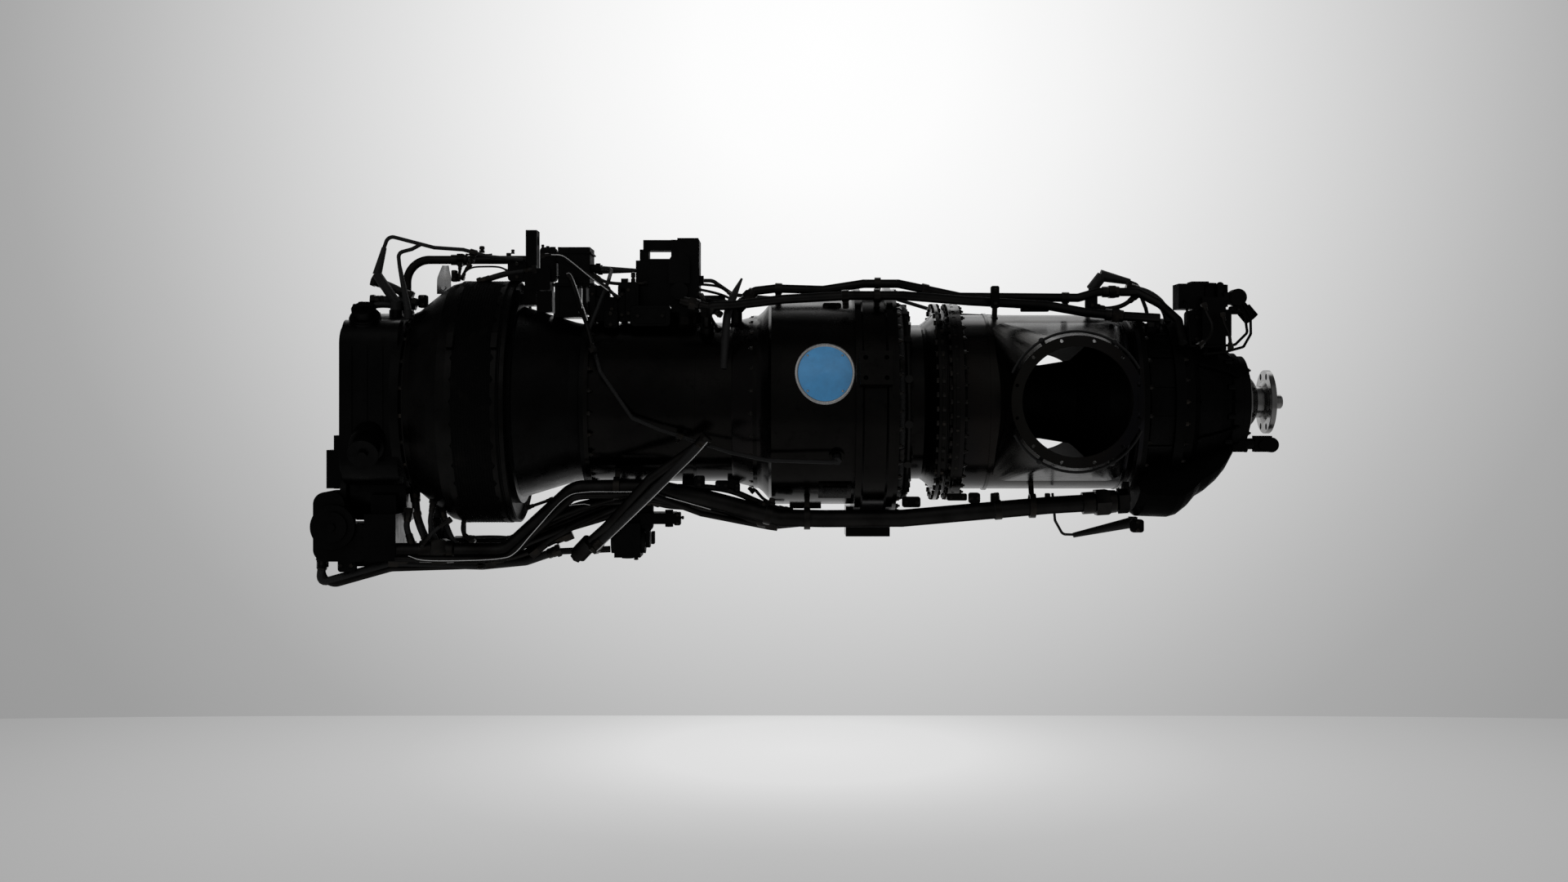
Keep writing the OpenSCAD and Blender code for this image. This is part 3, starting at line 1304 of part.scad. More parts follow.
module lower_tubes() {
  r = thin_tube_radius;
  c = compressor_radius;
  b = x_acc_back;
  i = x_inlet_back;
  g = screen_radius;
  color("#45433f") {
    // loop from the fuel control unit and along the bottom to the fuel heater
    pipe([[b - 50, -64, z_pump - 155.9], [b - 56, -64, z_pump - 198], [b + 86, -64, z_pump - 158],
      [i - 66, -62, -g - 84], [i + 20, -58, -g - 76], [i + 76, -54, -c - 138],
      [x_comp_back + 41.4, -44, -c - 134]], r, 26);
    // beside the scavenge tube
    pipe([[x_acc_front - 7.7, -124, -g - 66], [i - 12, -124, -g - 66],
      [x_comp_back - 20, -138, -c - 24], [x_comp_back + 130, -135, -c - 22],
      [x_comp_front - 110, -98, -c - 60],
      [x_gas_back - 6, -70, -gas_case_radius - 42], [x_ring_back - 24, -62, -gas_case_radius - 29],
      [x_ring_back - 3, -60, -gas_case_radius - 14]], r - 1, 24);
    // pair that climbs to the feet below the compressor
    pipe([[i - 110, -40, -g - 60], [i - 30, -44, -g - 54], [i + 90, -50, -c - 74],
      [x_comp_back + 26, -66, -c - 40], [x_comp_back + 130, -70, -c - 34], [x_comp_front - 40, -50, -c - 58],
      [x_gas_back + 24, -22, -gas_case_radius - 20]], r, 24);
    pipe([[i - 110, -14, -g - 40], [i - 30, -14, -g - 40], [i + 100, -14, -c - 62],
      [x_comp_back + 6, -20, -c - 50], [x_comp_back + 34, -30, -c - 50]], r, 24);
    box([i - 130, -50, -g - 70], [24, 52, 40]);
    // drain hose with its heavy end fitting
    pipe([[x_comp_back + 5, -116, -c - 118], [x_comp_back + 44, -146, -c - 84],
      [x_comp_back + 130, -178, -c + 10], [x_comp_front - 96, -190, -74]], r + 4, 40);
    rod([x_comp_back - 16, -102, -c - 140], [x_comp_back + 9, -118, -c - 114], 17, 48);
    rod([x_comp_back - 23, -98, -c - 147], [x_comp_back - 14, -103, -c - 138], 12, 6);
    // feed that drops beside the inlet screen
    pipe([[i - 120, 34, -g - 4], [i - 120, 34, -g - 38], [i - 20, 34, -g - 42], [i + 40, 20, -g - 50],
      [i + 60, -14, -g - 46]], r - 2, 14);
  }
}

module electrical_harness() {
  cable = 3.8;
  a = accessory_radius;
  c = compressor_radius;
  f = x_acc_front;
  g = x_gear_back;
  color("#1d1d1d") {
    // lead from the sensor on top of the accessory gearbox
    post([f - 24, -44, a + 5], 16, 11, 32);
    rod([f - 22, -44, a + 18], [f - 62, -42, a + 76], 9.5, 32);
    cone([f - 62, -42, a + 76], [f - 48, -40, a + 130], 9, 5);
    pipe([[f - 49, -40, a + 128], [f - 40, -40, a + 154], [f + 52, -40, a + 130],
      [f + 110, -40, a + 126], [f + 160, -40, a + 112], [x_inlet_back + 10, -38, a + 106]], cable, 14);
    // second lead, from the flange
    post([f + 9, -84, a - 14], 16, 9, 32);
    cone([f + 9, -84, a + 1], [f - 12, -64, a + 90], 7, 4);
    pipe([[f - 12, -64, a + 88], [f - 16, -60, a + 118], [f + 10, -52, a + 126], [f + 26, -40, a + 137]],
      cable, 12);
    // lead from the exciter down the near side to an igniter
    pipe([[x_comp_back + 19.6, -22, c + 108], [x_comp_back + 42, -22, c + 108],
      [x_comp_back + 40, -70, c + 80], [x_comp_back + 6, -120, 140],
      [x_comp_back + 34, -176, 58], [x_comp_back + 96, -180, -31], [x_comp_back + 150, -176, -54],
      at(x_comp_front - 50, 121, c + 30), at(x_gas_back - 6, 120, gas_case_radius + 18),
      at(x_ring_back - 36, 120, gas_case_radius + 26), at(x_ring_back - 35, 120, gas_case_radius + 9)],
      cable, 13);
    rotate([120, 0, 0]) post([x_ring_back - 36, 0, gas_case_radius + 8], 14, 9, 6);
    // lead from the exciter to the bleed valve
    cone([x_comp_back + 20, 22, c + 108], [bleed_x - 98.6, 14, c + 106], 8, 4);
    // leads from the bleed valve to the front
    pipe([[bleed_x + 38.4, -12, c + 84], [bleed_x + 56, -12, c + 84], [x_comp_front - 50, -2, c + 56],
      [x_gas_back + 10, 60, gas_case_radius + 6], [x_ring_back - 10, 118, mount_ring_radius - 16],
      [x_ring_front + 14, 118, mount_ring_radius - 14], [x_duct_back, 100, duct_radius + 6],
      [g - 90, 84, duct_radius - 6], [g + 4, 60, duct_radius + 6], [g + 30, 30, gearbox_radius + 4]],
      cable, 20);
    // plug with its boot over the duct
    rod([g - 76, -18, duct_radius + 50], [g - 54, -18, duct_radius + 78], 11, 32);
    cone([g - 58, -18, duct_radius + 79], [g + 2, -18, duct_radius + 66], 12, 6);
    pipe([[g, -18, duct_radius + 66.5], [g + 16, -18, duct_radius + 60], [g + 34, -18, gearbox_radius + 20],
      [g + 40, -18, gearbox_radius - 8]], cable, 10);
    rod([g - 76, -18, duct_radius + 52], [g - 82, -4, duct_radius + 2], 5, 24);
    // temperature leads round the near and far ports
    for (s = [-1, 1], part = [[28, 128], [208, 128]])
      translate([x_port, s * (port_reach - 14), 0])
        rotate([90, 0, 0])
          rotate([0, 0, part[0]])
            rotate_extrude(angle = part[1], $fn = 120)
              translate([port_flange_radius + 8, 0]) circle(r = 2.6, $fn = 24);
    for (s = [-1, 1], q = [58, 120, 238, 300])
      translate([x_port, s * (port_reach - 14), 0])
        rotate([0, -q, 0]) translate([port_flange_radius + 8, 0, 0]) {
          sphere(r = 6, $fn = 32);
          box([-14, -1.5, -4], [14, 3, 8]);
        }
    // lead under the reduction gearbox, with its plug and boot
    pipe([[g - 108, -19, -gearbox_radius - 99], [g - 134, -24, -gearbox_radius - 98],
      [g - 150, -28, -gearbox_radius - 70], [g - 156, -34, -duct_radius - 8]], 2.6, 12);
    cone([g + 6, -4, -gearbox_radius - 76], [g - 112, -20, -gearbox_radius - 100], 11, 5);
    box([g + 4, -10, -sump_radius - 24], [15, 20, 24 - seat_gap]);
  }
}

// round cone between two points
module cone(a, b, ra, rb) {
  d = b - a;
  translate(a)
    rotate([0, acos(d.z / norm(d)), atan2(d.y, d.x)])
      cylinder(h = norm(d), r1 = ra, r2 = rb, $fn = 32);
}

// band round a tube with a strap down to the surface below it
module band(x, angle, r, tube, surface) {
  rotate([angle, 0, 0]) {
    difference() {
      union() {
        translate([0, 0, r]) xrod(x - 6, x + 6, tube + 3, 32);
        box([x - 5, -3, surface], [10, 6, r - surface - tube]);
      }
      translate([0, 0, r]) xrod(x - 7, x + 7, tube + seat_gap + 0.4, 32);
    }
    box([x - 6, -9, surface], [12, 18, 2.5]);
  }
}

module tube_clamps() {
  t = oil_tube_radius;
  s = scavenge_tube_radius;
  color("#6a6864") {
    band(x_port - 130, 16, duct_radius + 41.3, t + 3, duct_radius);
    band(x_ring_back + 48, 17, mount_ring_radius + t + 5, t + 1, mount_ring_radius - 8);
    band(x_ring_front - 30, 32, mount_ring_radius + t + 4.5, t + 2, mount_ring_radius - 8);
    band(x_port - 62, 153.6, duct_radius + s + 36, s + 4, duct_radius);
    band(x_ring_back - 92, 155.5, mount_ring_radius + s + 3.4, s + 2, gas_case_radius);
    band(x_comp_back + 60, 148, compressor_radius + s + 23, s + 3, compressor_radius);
  }
}

module flange_bolts() {
  color("#77746f") {
    bolts(split_bolts, split_bolt_radius, x_split + 9, 18, 0, 1, 40);
    bolts(8, 68, x_seal - 21, 5, 22.5);
    bolts(36, duct_radius + 15, x_duct_back + 8, 16);
    bolts(20, back_bolt_radius, x_gear_back + 10, 17, 9, 1, 40);
    bolts(40, mount_ring_radius - 9, x_ring_front + 8, 18, 4.5);
    bolts(24, compressor_radius + 9, x_comp_front - 8, 15, 7.5, -1);
    bolts(24, compressor_radius + 7, x_comp_back + 8, 15, 7.5);
    bolts(20, accessory_radius - 7, x_acc_front + 8, 16, 9);
  }
}

// ring of screws whose heads stand on the face at station x
module bolts(n, r, x, shank, start = 0, way = 1, skip = 0) {
  round_axis(n, r, start, skip)
    translate([x, 0, 0]) rotate([0, way * 90, 0]) screw(2.9, shank, 4.5);
}

reduction_gearbox_front_housing();
reduction_gearbox_rear_housing();
propeller_seal_cover();
first_stage_ring_gear();
second_stage_ring_gear();
shaft_bearings();
exhaust_duct();
power_turbine_shaft_housing();
power_turbine_vane_rings();
gas_generator_case();
engine_mount_ring();
combustion_liner();
compressor_turbine_vane_ring();
fuel_manifold();
diffuser();
compressor_case();
compressor_vane_rings();
compressor_inlet_case();
inlet_screen();
accessory_gearbox_housing();
accessory_gearbox_cover();
fuel_control_unit();
oil_filter_housing();
oil_filler_neck();
fuel_heater();
ignition_exciter();
lifting_bracket();
bleed_valve_body();
propeller_governor();
speed_sensor();
scavenge_tube();
oil_pressure_tube();
compressor_air_tube();
breather_tube();
lower_tubes();
electrical_harness();
tube_clamps();
flange_bolts();
oil_filler_cap();
bleed_valve_piston();
propeller_shaft();
first_stage_carrier();
second_stage_planet_1();
second_stage_planet_2();
second_stage_planet_3();
second_stage_planet_4();
second_stage_planet_5();
first_stage_planet_1();
first_stage_planet_2();
first_stage_planet_3();
first_stage_sun_gear();
power_turbine_shaft();
power_turbine_discs();
compressor_rotor();
centrifugal_impeller();
compressor_turbine();
accessory_input_pinion();
starter_drive_gear();
fuel_idler_gear();
fuel_pump_gear();
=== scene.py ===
"""Looks of the turboprop engine: a pale studio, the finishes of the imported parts, and the fine
detail built on them."""

import json
from math import cos, hypot, pi, radians, sin, sqrt, tan

import bmesh
import bpy
import numpy as np
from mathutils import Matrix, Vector
from mathutils.bvhtree import BVHTree


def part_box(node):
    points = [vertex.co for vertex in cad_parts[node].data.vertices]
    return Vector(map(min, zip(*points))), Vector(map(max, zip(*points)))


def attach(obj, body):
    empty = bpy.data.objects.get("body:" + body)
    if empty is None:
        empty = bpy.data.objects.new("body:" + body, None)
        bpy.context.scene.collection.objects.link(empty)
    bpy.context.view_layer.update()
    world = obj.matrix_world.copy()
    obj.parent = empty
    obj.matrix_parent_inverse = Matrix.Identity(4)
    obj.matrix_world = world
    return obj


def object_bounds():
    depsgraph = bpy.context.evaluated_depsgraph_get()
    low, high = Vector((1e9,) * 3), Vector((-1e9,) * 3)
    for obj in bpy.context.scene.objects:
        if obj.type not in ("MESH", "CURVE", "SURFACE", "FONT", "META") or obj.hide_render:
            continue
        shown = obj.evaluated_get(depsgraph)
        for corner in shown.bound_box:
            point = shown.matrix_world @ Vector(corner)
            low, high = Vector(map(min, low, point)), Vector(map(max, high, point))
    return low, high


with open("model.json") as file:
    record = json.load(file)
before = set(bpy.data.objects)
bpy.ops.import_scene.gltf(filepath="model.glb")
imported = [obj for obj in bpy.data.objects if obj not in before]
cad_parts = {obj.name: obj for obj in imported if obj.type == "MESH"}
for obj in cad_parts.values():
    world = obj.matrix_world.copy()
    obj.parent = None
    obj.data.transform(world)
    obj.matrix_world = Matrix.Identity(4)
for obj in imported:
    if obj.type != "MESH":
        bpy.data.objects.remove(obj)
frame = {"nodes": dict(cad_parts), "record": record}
CAD_LOW, CAD_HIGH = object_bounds()
NODES = frame["nodes"]
RECORD = frame["record"]
SCENE = bpy.context.scene
X_AXIS, Y_AXIS, Z_AXIS = Vector((1, 0, 0)), Vector((0, 1, 0)), Vector((0, 0, 1))
PORT = next(mount for mount in RECORD["mounts"] if mount["name"] == "exhaust_port_near")
PORT_X = PORT["pos_m"][0]
PORT_BORE = PORT["dims"]["pcd_mm"] / 2000 - 0.0115

# ---- camera

CAMERA_SPOT = (-0.9793, -3.63, 0.0)
CAMERA_LENS = 41.25
CAMERA_SENSOR = 36
CAMERA_SHIFT = -0.025
CAMERA_FAR = 60


def placed(name, data, place=(0, 0, 0), turn=(0, 0, 0)):
    """Puts an object in the scene."""
    made = bpy.data.objects.new(name, data)
    made.location = place
    made.rotation_euler = turn
    SCENE.collection.objects.link(made)
    return made


def make_camera():
    data = bpy.data.cameras.new("camera")
    data.sensor_width = CAMERA_SENSOR
    data.lens = CAMERA_LENS
    data.shift_y = CAMERA_SHIFT
    data.clip_end = CAMERA_FAR
    SCENE.camera = placed("camera", data, CAMERA_SPOT, (pi / 2, 0, 0))


# ---- node graphs

MIX_COLOURS = (6, 7)  # the Mix node's two colour inputs
MIX_COLOUR_OUT = 2


class Graph:
    """A material's node tree, with short calls for the nodes used here."""

    def __init__(self, name):
        self.material = bpy.data.materials.new(name)
        self.material.use_nodes = True
        self.tree = self.material.node_tree
        self.tree.nodes.clear()
        self.output = self.node("ShaderNodeOutputMaterial")

    def node(self, kind, **inputs):
        made = self.tree.nodes.new(kind)
        for key, value in inputs.items():
            self.put(made, key.replace("_", " "), value)
        return made

    def put(self, node, socket, value):
        if isinstance(value, bpy.types.NodeSocket):
            self.tree.links.new(value, node.inputs[socket])
        else:
            node.inputs[socket].default_value = value

    def position(self):
        return self.node("ShaderNodeTexCoord").outputs["Object"]

    def split(self, vector):
        return self.node("ShaderNodeSeparateXYZ", Vector=vector).outputs

    def join(self, x, y, z):
        return self.node("ShaderNodeCombineXYZ", X=x, Y=y, Z=z).outputs["Vector"]

    def math(self, kind, a, b=0.0):
        made = self.tree.nodes.new("ShaderNodeMath")
        made.operation = kind
        self.put(made, 0, a)
        self.put(made, 1, b)
        return made.outputs[0]

    def plus(self, a, b):
        return self.math("ADD", a, b)

    def times(self, a, b):
        return self.math("MULTIPLY", a, b)

    def noise(self, vector, scale, detail, rough=0.55):
        made = self.node("ShaderNodeTexNoise", Vector=vector, Scale=scale, Detail=detail,
                         Roughness=rough)
        return made.outputs["Fac"]

    def cells(self, vector, scale):
        return self.node("ShaderNodeTexVoronoi", Vector=vector, Scale=scale).outputs["Distance"]

    def level(self, value, *limits):
        """Stretches a value to a new range; limits are low, high, new low and new high."""
        made = self.node("ShaderNodeMapRange", Value=value)
        for key, limit in zip(("From Min", "From Max", "To Min", "To Max"), limits):
            made.inputs[key].default_value = limit
        return made.outputs["Result"]

    def levels(self, first, second):
        """The sum of two stretched values."""
        return self.plus(self.level(*first), self.level(*second))

    def stained(self, colour, noise, low, high, share, stain):
        """A colour with a stain where a noise is high."""
        return self.blend(self.level(noise, low, high, 0, share), colour, stain)

    def ramp(self, value, stops):
        made = self.node("ShaderNodeValToRGB", Fac=value)
        points = made.color_ramp.elements
        while len(points) < len(stops):
            points.new(1.0)
        for point, (place, colour) in zip(points, stops):
            point.position = place
            point.color = (*colour, 1)
        return made.outputs["Color"]

    def tones(self, value, level, *stops):
        """A ramp of greys; each stop is a place, a share of the level and perhaps a warmth."""
        return self.ramp(value, [(place, grey(level * share, *warmth))
                                 for place, share, *warmth in stops])

    def blend(self, share, *colours):
        made = self.tree.nodes.new("ShaderNodeMix")
        made.data_type = "RGBA"
        self.put(made, 0, share)
        for socket, colour in zip(MIX_COLOURS, colours):
            linked = isinstance(colour, bpy.types.NodeSocket)
            self.put(made, socket, colour if linked else (*colour, 1))
        return made.outputs[MIX_COLOUR_OUT]

    def bump(self, height, distance, strength, under=None):
        made = self.node("ShaderNodeBump", Height=height, Distance=distance, Strength=strength)
        if under is not None:
            self.put(made, "Normal", under)
        return made.outputs["Normal"]

    def surface(self, colour, metallic, roughness, normal, **more):
        """A principled surface; more names further sockets, with _ for a space."""
        shader = self.node("ShaderNodeBsdfPrincipled", Base_Color=colour, Metallic=metallic,
                           Roughness=roughness, Normal=normal, **more)
        self.tree.links.new(shader.outputs["BSDF"], self.output.inputs["Surface"])
        return self.material


# ---- finishes

# The photo is lit from behind, so most of these are far darker than bare metal is.
TURNING_LINES = 520
OIL_SMEAR = 0.35
FACES_AXIS, FACES_BORE = -0.01, -0.005
DUCT_TINTS = [
    (0.00, (0.013, 0.012, 0.012)), (0.12, (0.016, 0.014, 0.013)), (0.30, (0.020, 0.019, 0.017)),
    (0.55, (0.022, 0.021, 0.020)), (0.78, (0.018, 0.016, 0.015)), (0.92, (0.012, 0.012, 0.014)),
    (1.00, (0.012, 0.011, 0.011)),
]
DUCT_SMOKE = (0.012, 0.011, 0.010)
DUCT_SOOT = [(0.3, (0.004, 0.0038, 0.0036)), (0.75, (0.011, 0.0098, 0.009))]
THREADS_ROUND, THREADS_ALONG = 640, 2400


def grey(level, warmth=0.0):
    return (level * (1 + warmth), level, level * (1 - warmth))


def started(name):
    """A new graph and the place on the object's surface."""
    g = Graph(name)
    return g, g.position()


def cast_metal(name, level, metallic, gloss, edge=1.0, grain=420, depth=0.00025):
    """Satin cast or painted casing: fine pits, oily patches and rubbed high spots."""
    g, p = started(name)
    pits = g.noise(p, grain, 4)
    patches = g.noise(p, 9, 5, 0.6)
    stain = g.noise(p, 38, 6, 0.65)
    colour = g.tones(patches, level, (0.25, 0.62, 0.04), (0.5, 1), (0.8, 1.55, 0.02))
    colour = g.stained(colour, stain, 0.56, 0.74, 0.55, grey(level * 0.38, 0.12))
    rough = g.levels((stain, 0.3, 0.75, gloss - 0.09, gloss + 0.13), (pits, 0.35, 0.7, -0.04, 0.06))
    return g.surface(colour, metallic, rough, g.bump(pits, depth, 0.55),
                     Specular_Tint=(edge, edge, edge, 1))


def turned_metal(name, level, warmth, gloss):
    """Machined steel: fine turning lines round the engine's axis, with a thin film of oil."""
    g, p = started(name)
    x, y, z = g.split(p)[:3]
    radius = g.math("SQRT", g.plus(g.times(y, y), g.times(z, z)))
    cuts = g.noise(g.join(g.times(x, TURNING_LINES), g.times(radius, TURNING_LINES), 0.0), 1.0, 2)
    film = g.noise(p, 26, 5, 0.6)
    colour = g.tones(cuts, level, (0.3, 0.82, warmth), (0.7, 1.15, warmth))
    colour = g.stained(colour, film, 0.5, 0.78, OIL_SMEAR, grey(level * 0.4, warmth + 0.1))
    rough = g.levels((cuts, 0.3, 0.7, gloss - 0.05, gloss + 0.07), (film, 0.4, 0.75, 0, 0.16))
    return g.surface(colour, 1.0, rough, g.bump(cuts, 0.00008, 0.5))


def inside_of_duct(g, x, y, z):
    """One where a surface faces the duct's axis or lines the bore of a port, else zero."""
    nx, ny, nz = g.split(g.node("ShaderNodeTexCoord").outputs["Normal"])[:3]
    off, up = g.math("SUBTRACT", x, PORT_X), g.times(nz, z)
    inward = g.math("LESS_THAN", g.plus(g.times(ny, y), up), FACES_AXIS)
    in_bore = g.math("LESS_THAN", g.plus(g.times(off, off), g.times(z, z)), PORT_BORE ** 2)
    bore_wall = g.math("LESS_THAN", g.plus(g.times(nx, off), up), FACES_BORE)
    return g.math("MAXIMUM", inward, g.times(in_bore, bore_wall))


def tinted_duct(name):
    """Smooth exhaust steel: faint straw and blue heat bands outside, and soot inside."""
    low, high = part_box("exhaust_duct")
    g, p = started(name)
    x, y, z = g.split(p)[:3]
    drift = g.noise(p, 7, 4, 0.6)
    place = g.levels((x, low.x, high.x, 0.0, 1.0), (drift, 0.3, 0.7, -0.13, 0.13))
    smoke = g.noise(p, 24, 6, 0.7)
    colour = g.stained(g.ramp(place, DUCT_TINTS), smoke, 0.55, 0.78, 0.4, DUCT_SMOKE)
    drawn = g.noise(g.join(g.times(x, 30), g.times(y, 700), g.times(z, 700)), 1.0, 3)
    dents = g.noise(p, 15, 2, 0.4)
    rough = g.levels((drawn, 0.3, 0.7, 0.2, 0.28), (smoke, 0.45, 0.75, 0, 0.07))
    inside = inside_of_duct(g, x, y, z)
    colour = g.blend(inside, colour, g.ramp(smoke, DUCT_SOOT))
    rough = g.plus(rough, g.times(inside, 0.55))
    metallic = g.math("SUBTRACT", 1.0, g.times(inside, 0.1))
    dented = g.bump(dents, 0.0004, 0.3)
    return g.surface(colour, metallic, rough, g.bump(drawn, 0.00004, 0.4, dented))


def hot_steel(name, level, straw, gloss):
    """Sheet steel that runs hot: brown and blue-grey bloom over satin metal, with drawn lines."""
    g, p = started(name)
    bloom = g.noise(p, 6, 5, 0.62)
    flecks = g.noise(p, 60, 5, 0.6)
    lines = g.noise(p, 330, 3)
    colour = g.tones(bloom, level, (0.25, 0.6, 0.02), (0.45, 1, 0.05), (0.62, 1.3, straw),
                     (0.8, 0.8, -0.12))
    colour = g.stained(colour, flecks, 0.56, 0.75, 0.5, grey(level * 0.35, 0.1))
    rough = g.levels((bloom, 0.3, 0.75, gloss - 0.06, gloss + 0.12),
                     (lines, 0.35, 0.65, -0.03, 0.05))
    return g.surface(colour, 1.0, rough, g.bump(lines, 0.00012, 0.4))


def tube_metal(name, level, gloss, edge):
    """Drawn tube: smooth, with handling marks and a darker bloom here and there."""
    g, p = started(name)
    bloom = g.noise(p, 18, 4, 0.6)
    marks = g.noise(p, 240, 4, 0.65)
    colour = g.tones(bloom, level, (0.3, 0.55, 0.06), (0.55, 1, 0.03), (0.8, 1.3, 0.05))
    rough = g.levels((marks, 0.4, 0.72, gloss - 0.04, gloss + 0.1), (bloom, 0.4, 0.7, 0, 0.06))
    return g.surface(colour, 0.95, rough, g.bump(marks, 0.00005, 0.35),
                     Specular_Tint=(edge, edge, edge, 1))


def wire_cloth(name, level):
    """Fine wire cloth: threads along and round the shell, dark between them, dust in places."""
    g, p = started(name)
    x, y, z = g.split(p)[:3]
    round_threads = g.math("SINE", g.times(g.math("ARCTAN2", y, z), THREADS_ROUND))
    weave = g.times(round_threads, g.math("SINE", g.times(x, THREADS_ALONG)))
    dust = g.noise(p, 34, 6, 0.65)
    colour = g.tones(g.level(weave, -1, 1, 0, 1), level, (0.3, 0.35), (0.75, 1))
    colour = g.stained(colour, dust, 0.52, 0.78, 0.6, grey(level * 1.7, 0.1))
    return g.surface(colour, 0.97, g.level(dust, 0.3, 0.75, 0.34, 0.5),
                     g.bump(weave, 0.0003, 0.5), Specular_Tint=(0.2, 0.2, 0.2, 1))


def woven_rubber(name, level):
    """Braided sleeve over a lead: a fine weave of cells with worn threads."""
    g, p = started(name)
    weave = g.cells(p, 950)
    wear = g.noise(p, 45, 5, 0.65)
    colour = g.blend(g.level(weave, 0.1, 0.55, 0, 1), grey(level * 1.5), grey(level * 0.5))
    colour = g.stained(colour, wear, 0.55, 0.75, 0.6, grey(level * 2.4, 0.05))
    return g.surface(colour, 0.0, g.level(wear, 0.3, 0.75, 0.5, 0.72),
                     g.bump(weave, 0.0004, 0.6), Specular_IOR_Level=0.25)


def fastener_metal(name, level):
    """Plated hardware: dull, a little different from bolt to bolt."""
    g, p = started(name)
    each = g.noise(p, 42, 1, 0.4)
    marks = g.noise(p, 520, 3, 0.6)
    colour = g.tones(each, level, (0.3, 0.55, 0.1), (0.5, 1, 0.06), (0.7, 1.3, 0.16))
    colour = g.stained(colour, marks, 0.55, 0.75, 0.5, grey(level * 0.35))
    return g.surface(colour, 0.95, g.level(marks, 0.3, 0.7, 0.26, 0.44),
                     g.bump(marks, 0.00006, 0.4))


def enamel(name, colour):
    """Baked enamel: one plain colour with a faint cloudiness under a hard gloss."""
    g, p = started(name)
    cloud = g.noise(p, 55, 4, 0.6)
    pits = g.noise(p, 900, 2)
    deep = tuple(c * 0.82 for c in colour)
    return g.surface(g.blend(g.level(cloud, 0.35, 0.7, 0, 1), colour, deep), 0.0,
                     g.level(cloud, 0.3, 0.7, 0.33, 0.4), g.bump(pits, 0.00003, 0.3))


def studio_surface(name, middle, stops, floor=False):
    """A pale surface with painted light: an emitted glow whose brightness falls away from one spot,
    clear when seen from its back.
    """
    g, p = started(name)
    away = g.tree.nodes.new("ShaderNodeVectorMath")
    away.operation = "DISTANCE"
    g.put(away, 0, p)
    away.inputs[1].default_value = middle
    far = stops[-1][0]
    painted_glow = g.ramp(g.math("DIVIDE", away.outputs["Value"], far),
                   [(d / far, grey(v)) for d, v in stops])
    front = g.node("ShaderNodeEmission", Color=painted_glow).outputs[0]
    # The floor mixes a matt part, which takes real shadows, with the emitted painted glow.
    if floor:
        matt = g.node("ShaderNodeBsdfDiffuse", Color=painted_glow).outputs[0]
        front = mixed(g, FLOOR_SHADED, front, matt)
    clear = g.node("ShaderNodeBsdfTransparent").outputs[0]
    sided = mixed(g, g.node("ShaderNodeNewGeometry").outputs["Backfacing"], front, clear)
    g.put(g.output, "Surface", sided)
    return g.material


def mixed(g, share, a, b):
    """Two shaders mixed by a share."""
    made = g.tree.nodes.new("ShaderNodeMixShader")
    for socket, value in enumerate((share, a, b)):
        g.put(made, socket, value)
    return made.outputs[0]


# ---- mesh building

LEAST_RADIUS, LEAST_CORNER = 0.00001, 0.0001
QUARTERS = ((1, 1), (-1, 1), (-1, -1), (1, -1))


def basis(axis):
    """Two unit vectors square to an axis."""
    axis = Vector(axis).normalized()
    u = axis.cross(Z_AXIS if abs(axis.z) < 0.9 else X_AXIS).normalized()
    return u, axis.cross(u).normalized()


def rounded(points, bend, steps=6):
    """A path through the points whose corners are rounded to the given bend."""
    points = [Vector(p) for p in points]
    path = [points[0]]
    for a, b, c in zip(points, points[1:], points[2:]):
        into, out = (b - a).normalized(), (c - b).normalized()
        half = into.angle(out, 0) / 2
        if half < 0.02:
            path.append(b)
            continue
        trim = min(bend * tan(half), (b - a).length * 0.48, (c - b).length * 0.48)
        start, end = b - into * trim, b + out * trim
        for i in range(steps + 1):
            t = i / steps
            path.append(start * (1 - t) ** 2 + b * 2 * t * (1 - t) + end * t * t)
    path.append(points[-1])
    return path


def flowing(points, steps=8):
    """A smooth path through every point, as a hose lies."""
    points = [Vector(p) for p in points]
    points = [points[0] * 2 - points[1], *points, points[-1] * 2 - points[-2]]
    path = []
    for a, b, c, d in zip(points, points[1:], points[2:], points[3:]):
        for i in range(steps):
            t = i / steps
            path.append(0.5 * (b * 2 + (c - a) * t + (a * 2 - b * 5 + c * 4 - d) * t * t
                               + (b * 3 - a - c * 3 + d) * t ** 3))
    path.append(points[-2])
    return path


def ends(path):
    """Each end of a path, with the way inwards from it."""
    return [(a, (b - a).normalized()) for a, b in ((path[0], path[1]), (path[-1], path[-2]))]


def turn_angles(sides):
    return [2 * pi * i / sides for i in range(sides)]


def turned(origin, axis):
    """Gives the point at a height, a radius and an angle round an axis."""
    axis, origin = Vector(axis).normalized(), Vector(origin)
    u, w = basis(axis)
    return lambda h, r, a: origin + axis * h + (u * cos(a) + w * sin(a)) * r


def scaled(profile, length, radius):
    """A profile with its heights and radii multiplied."""
    return [(h * length, r * radius) for h, r in profile]


def band(start, end, inner, outer):
    """The section of a plain band."""
    return [(start, inner), (end, inner), (end, outer), (start, outer)]


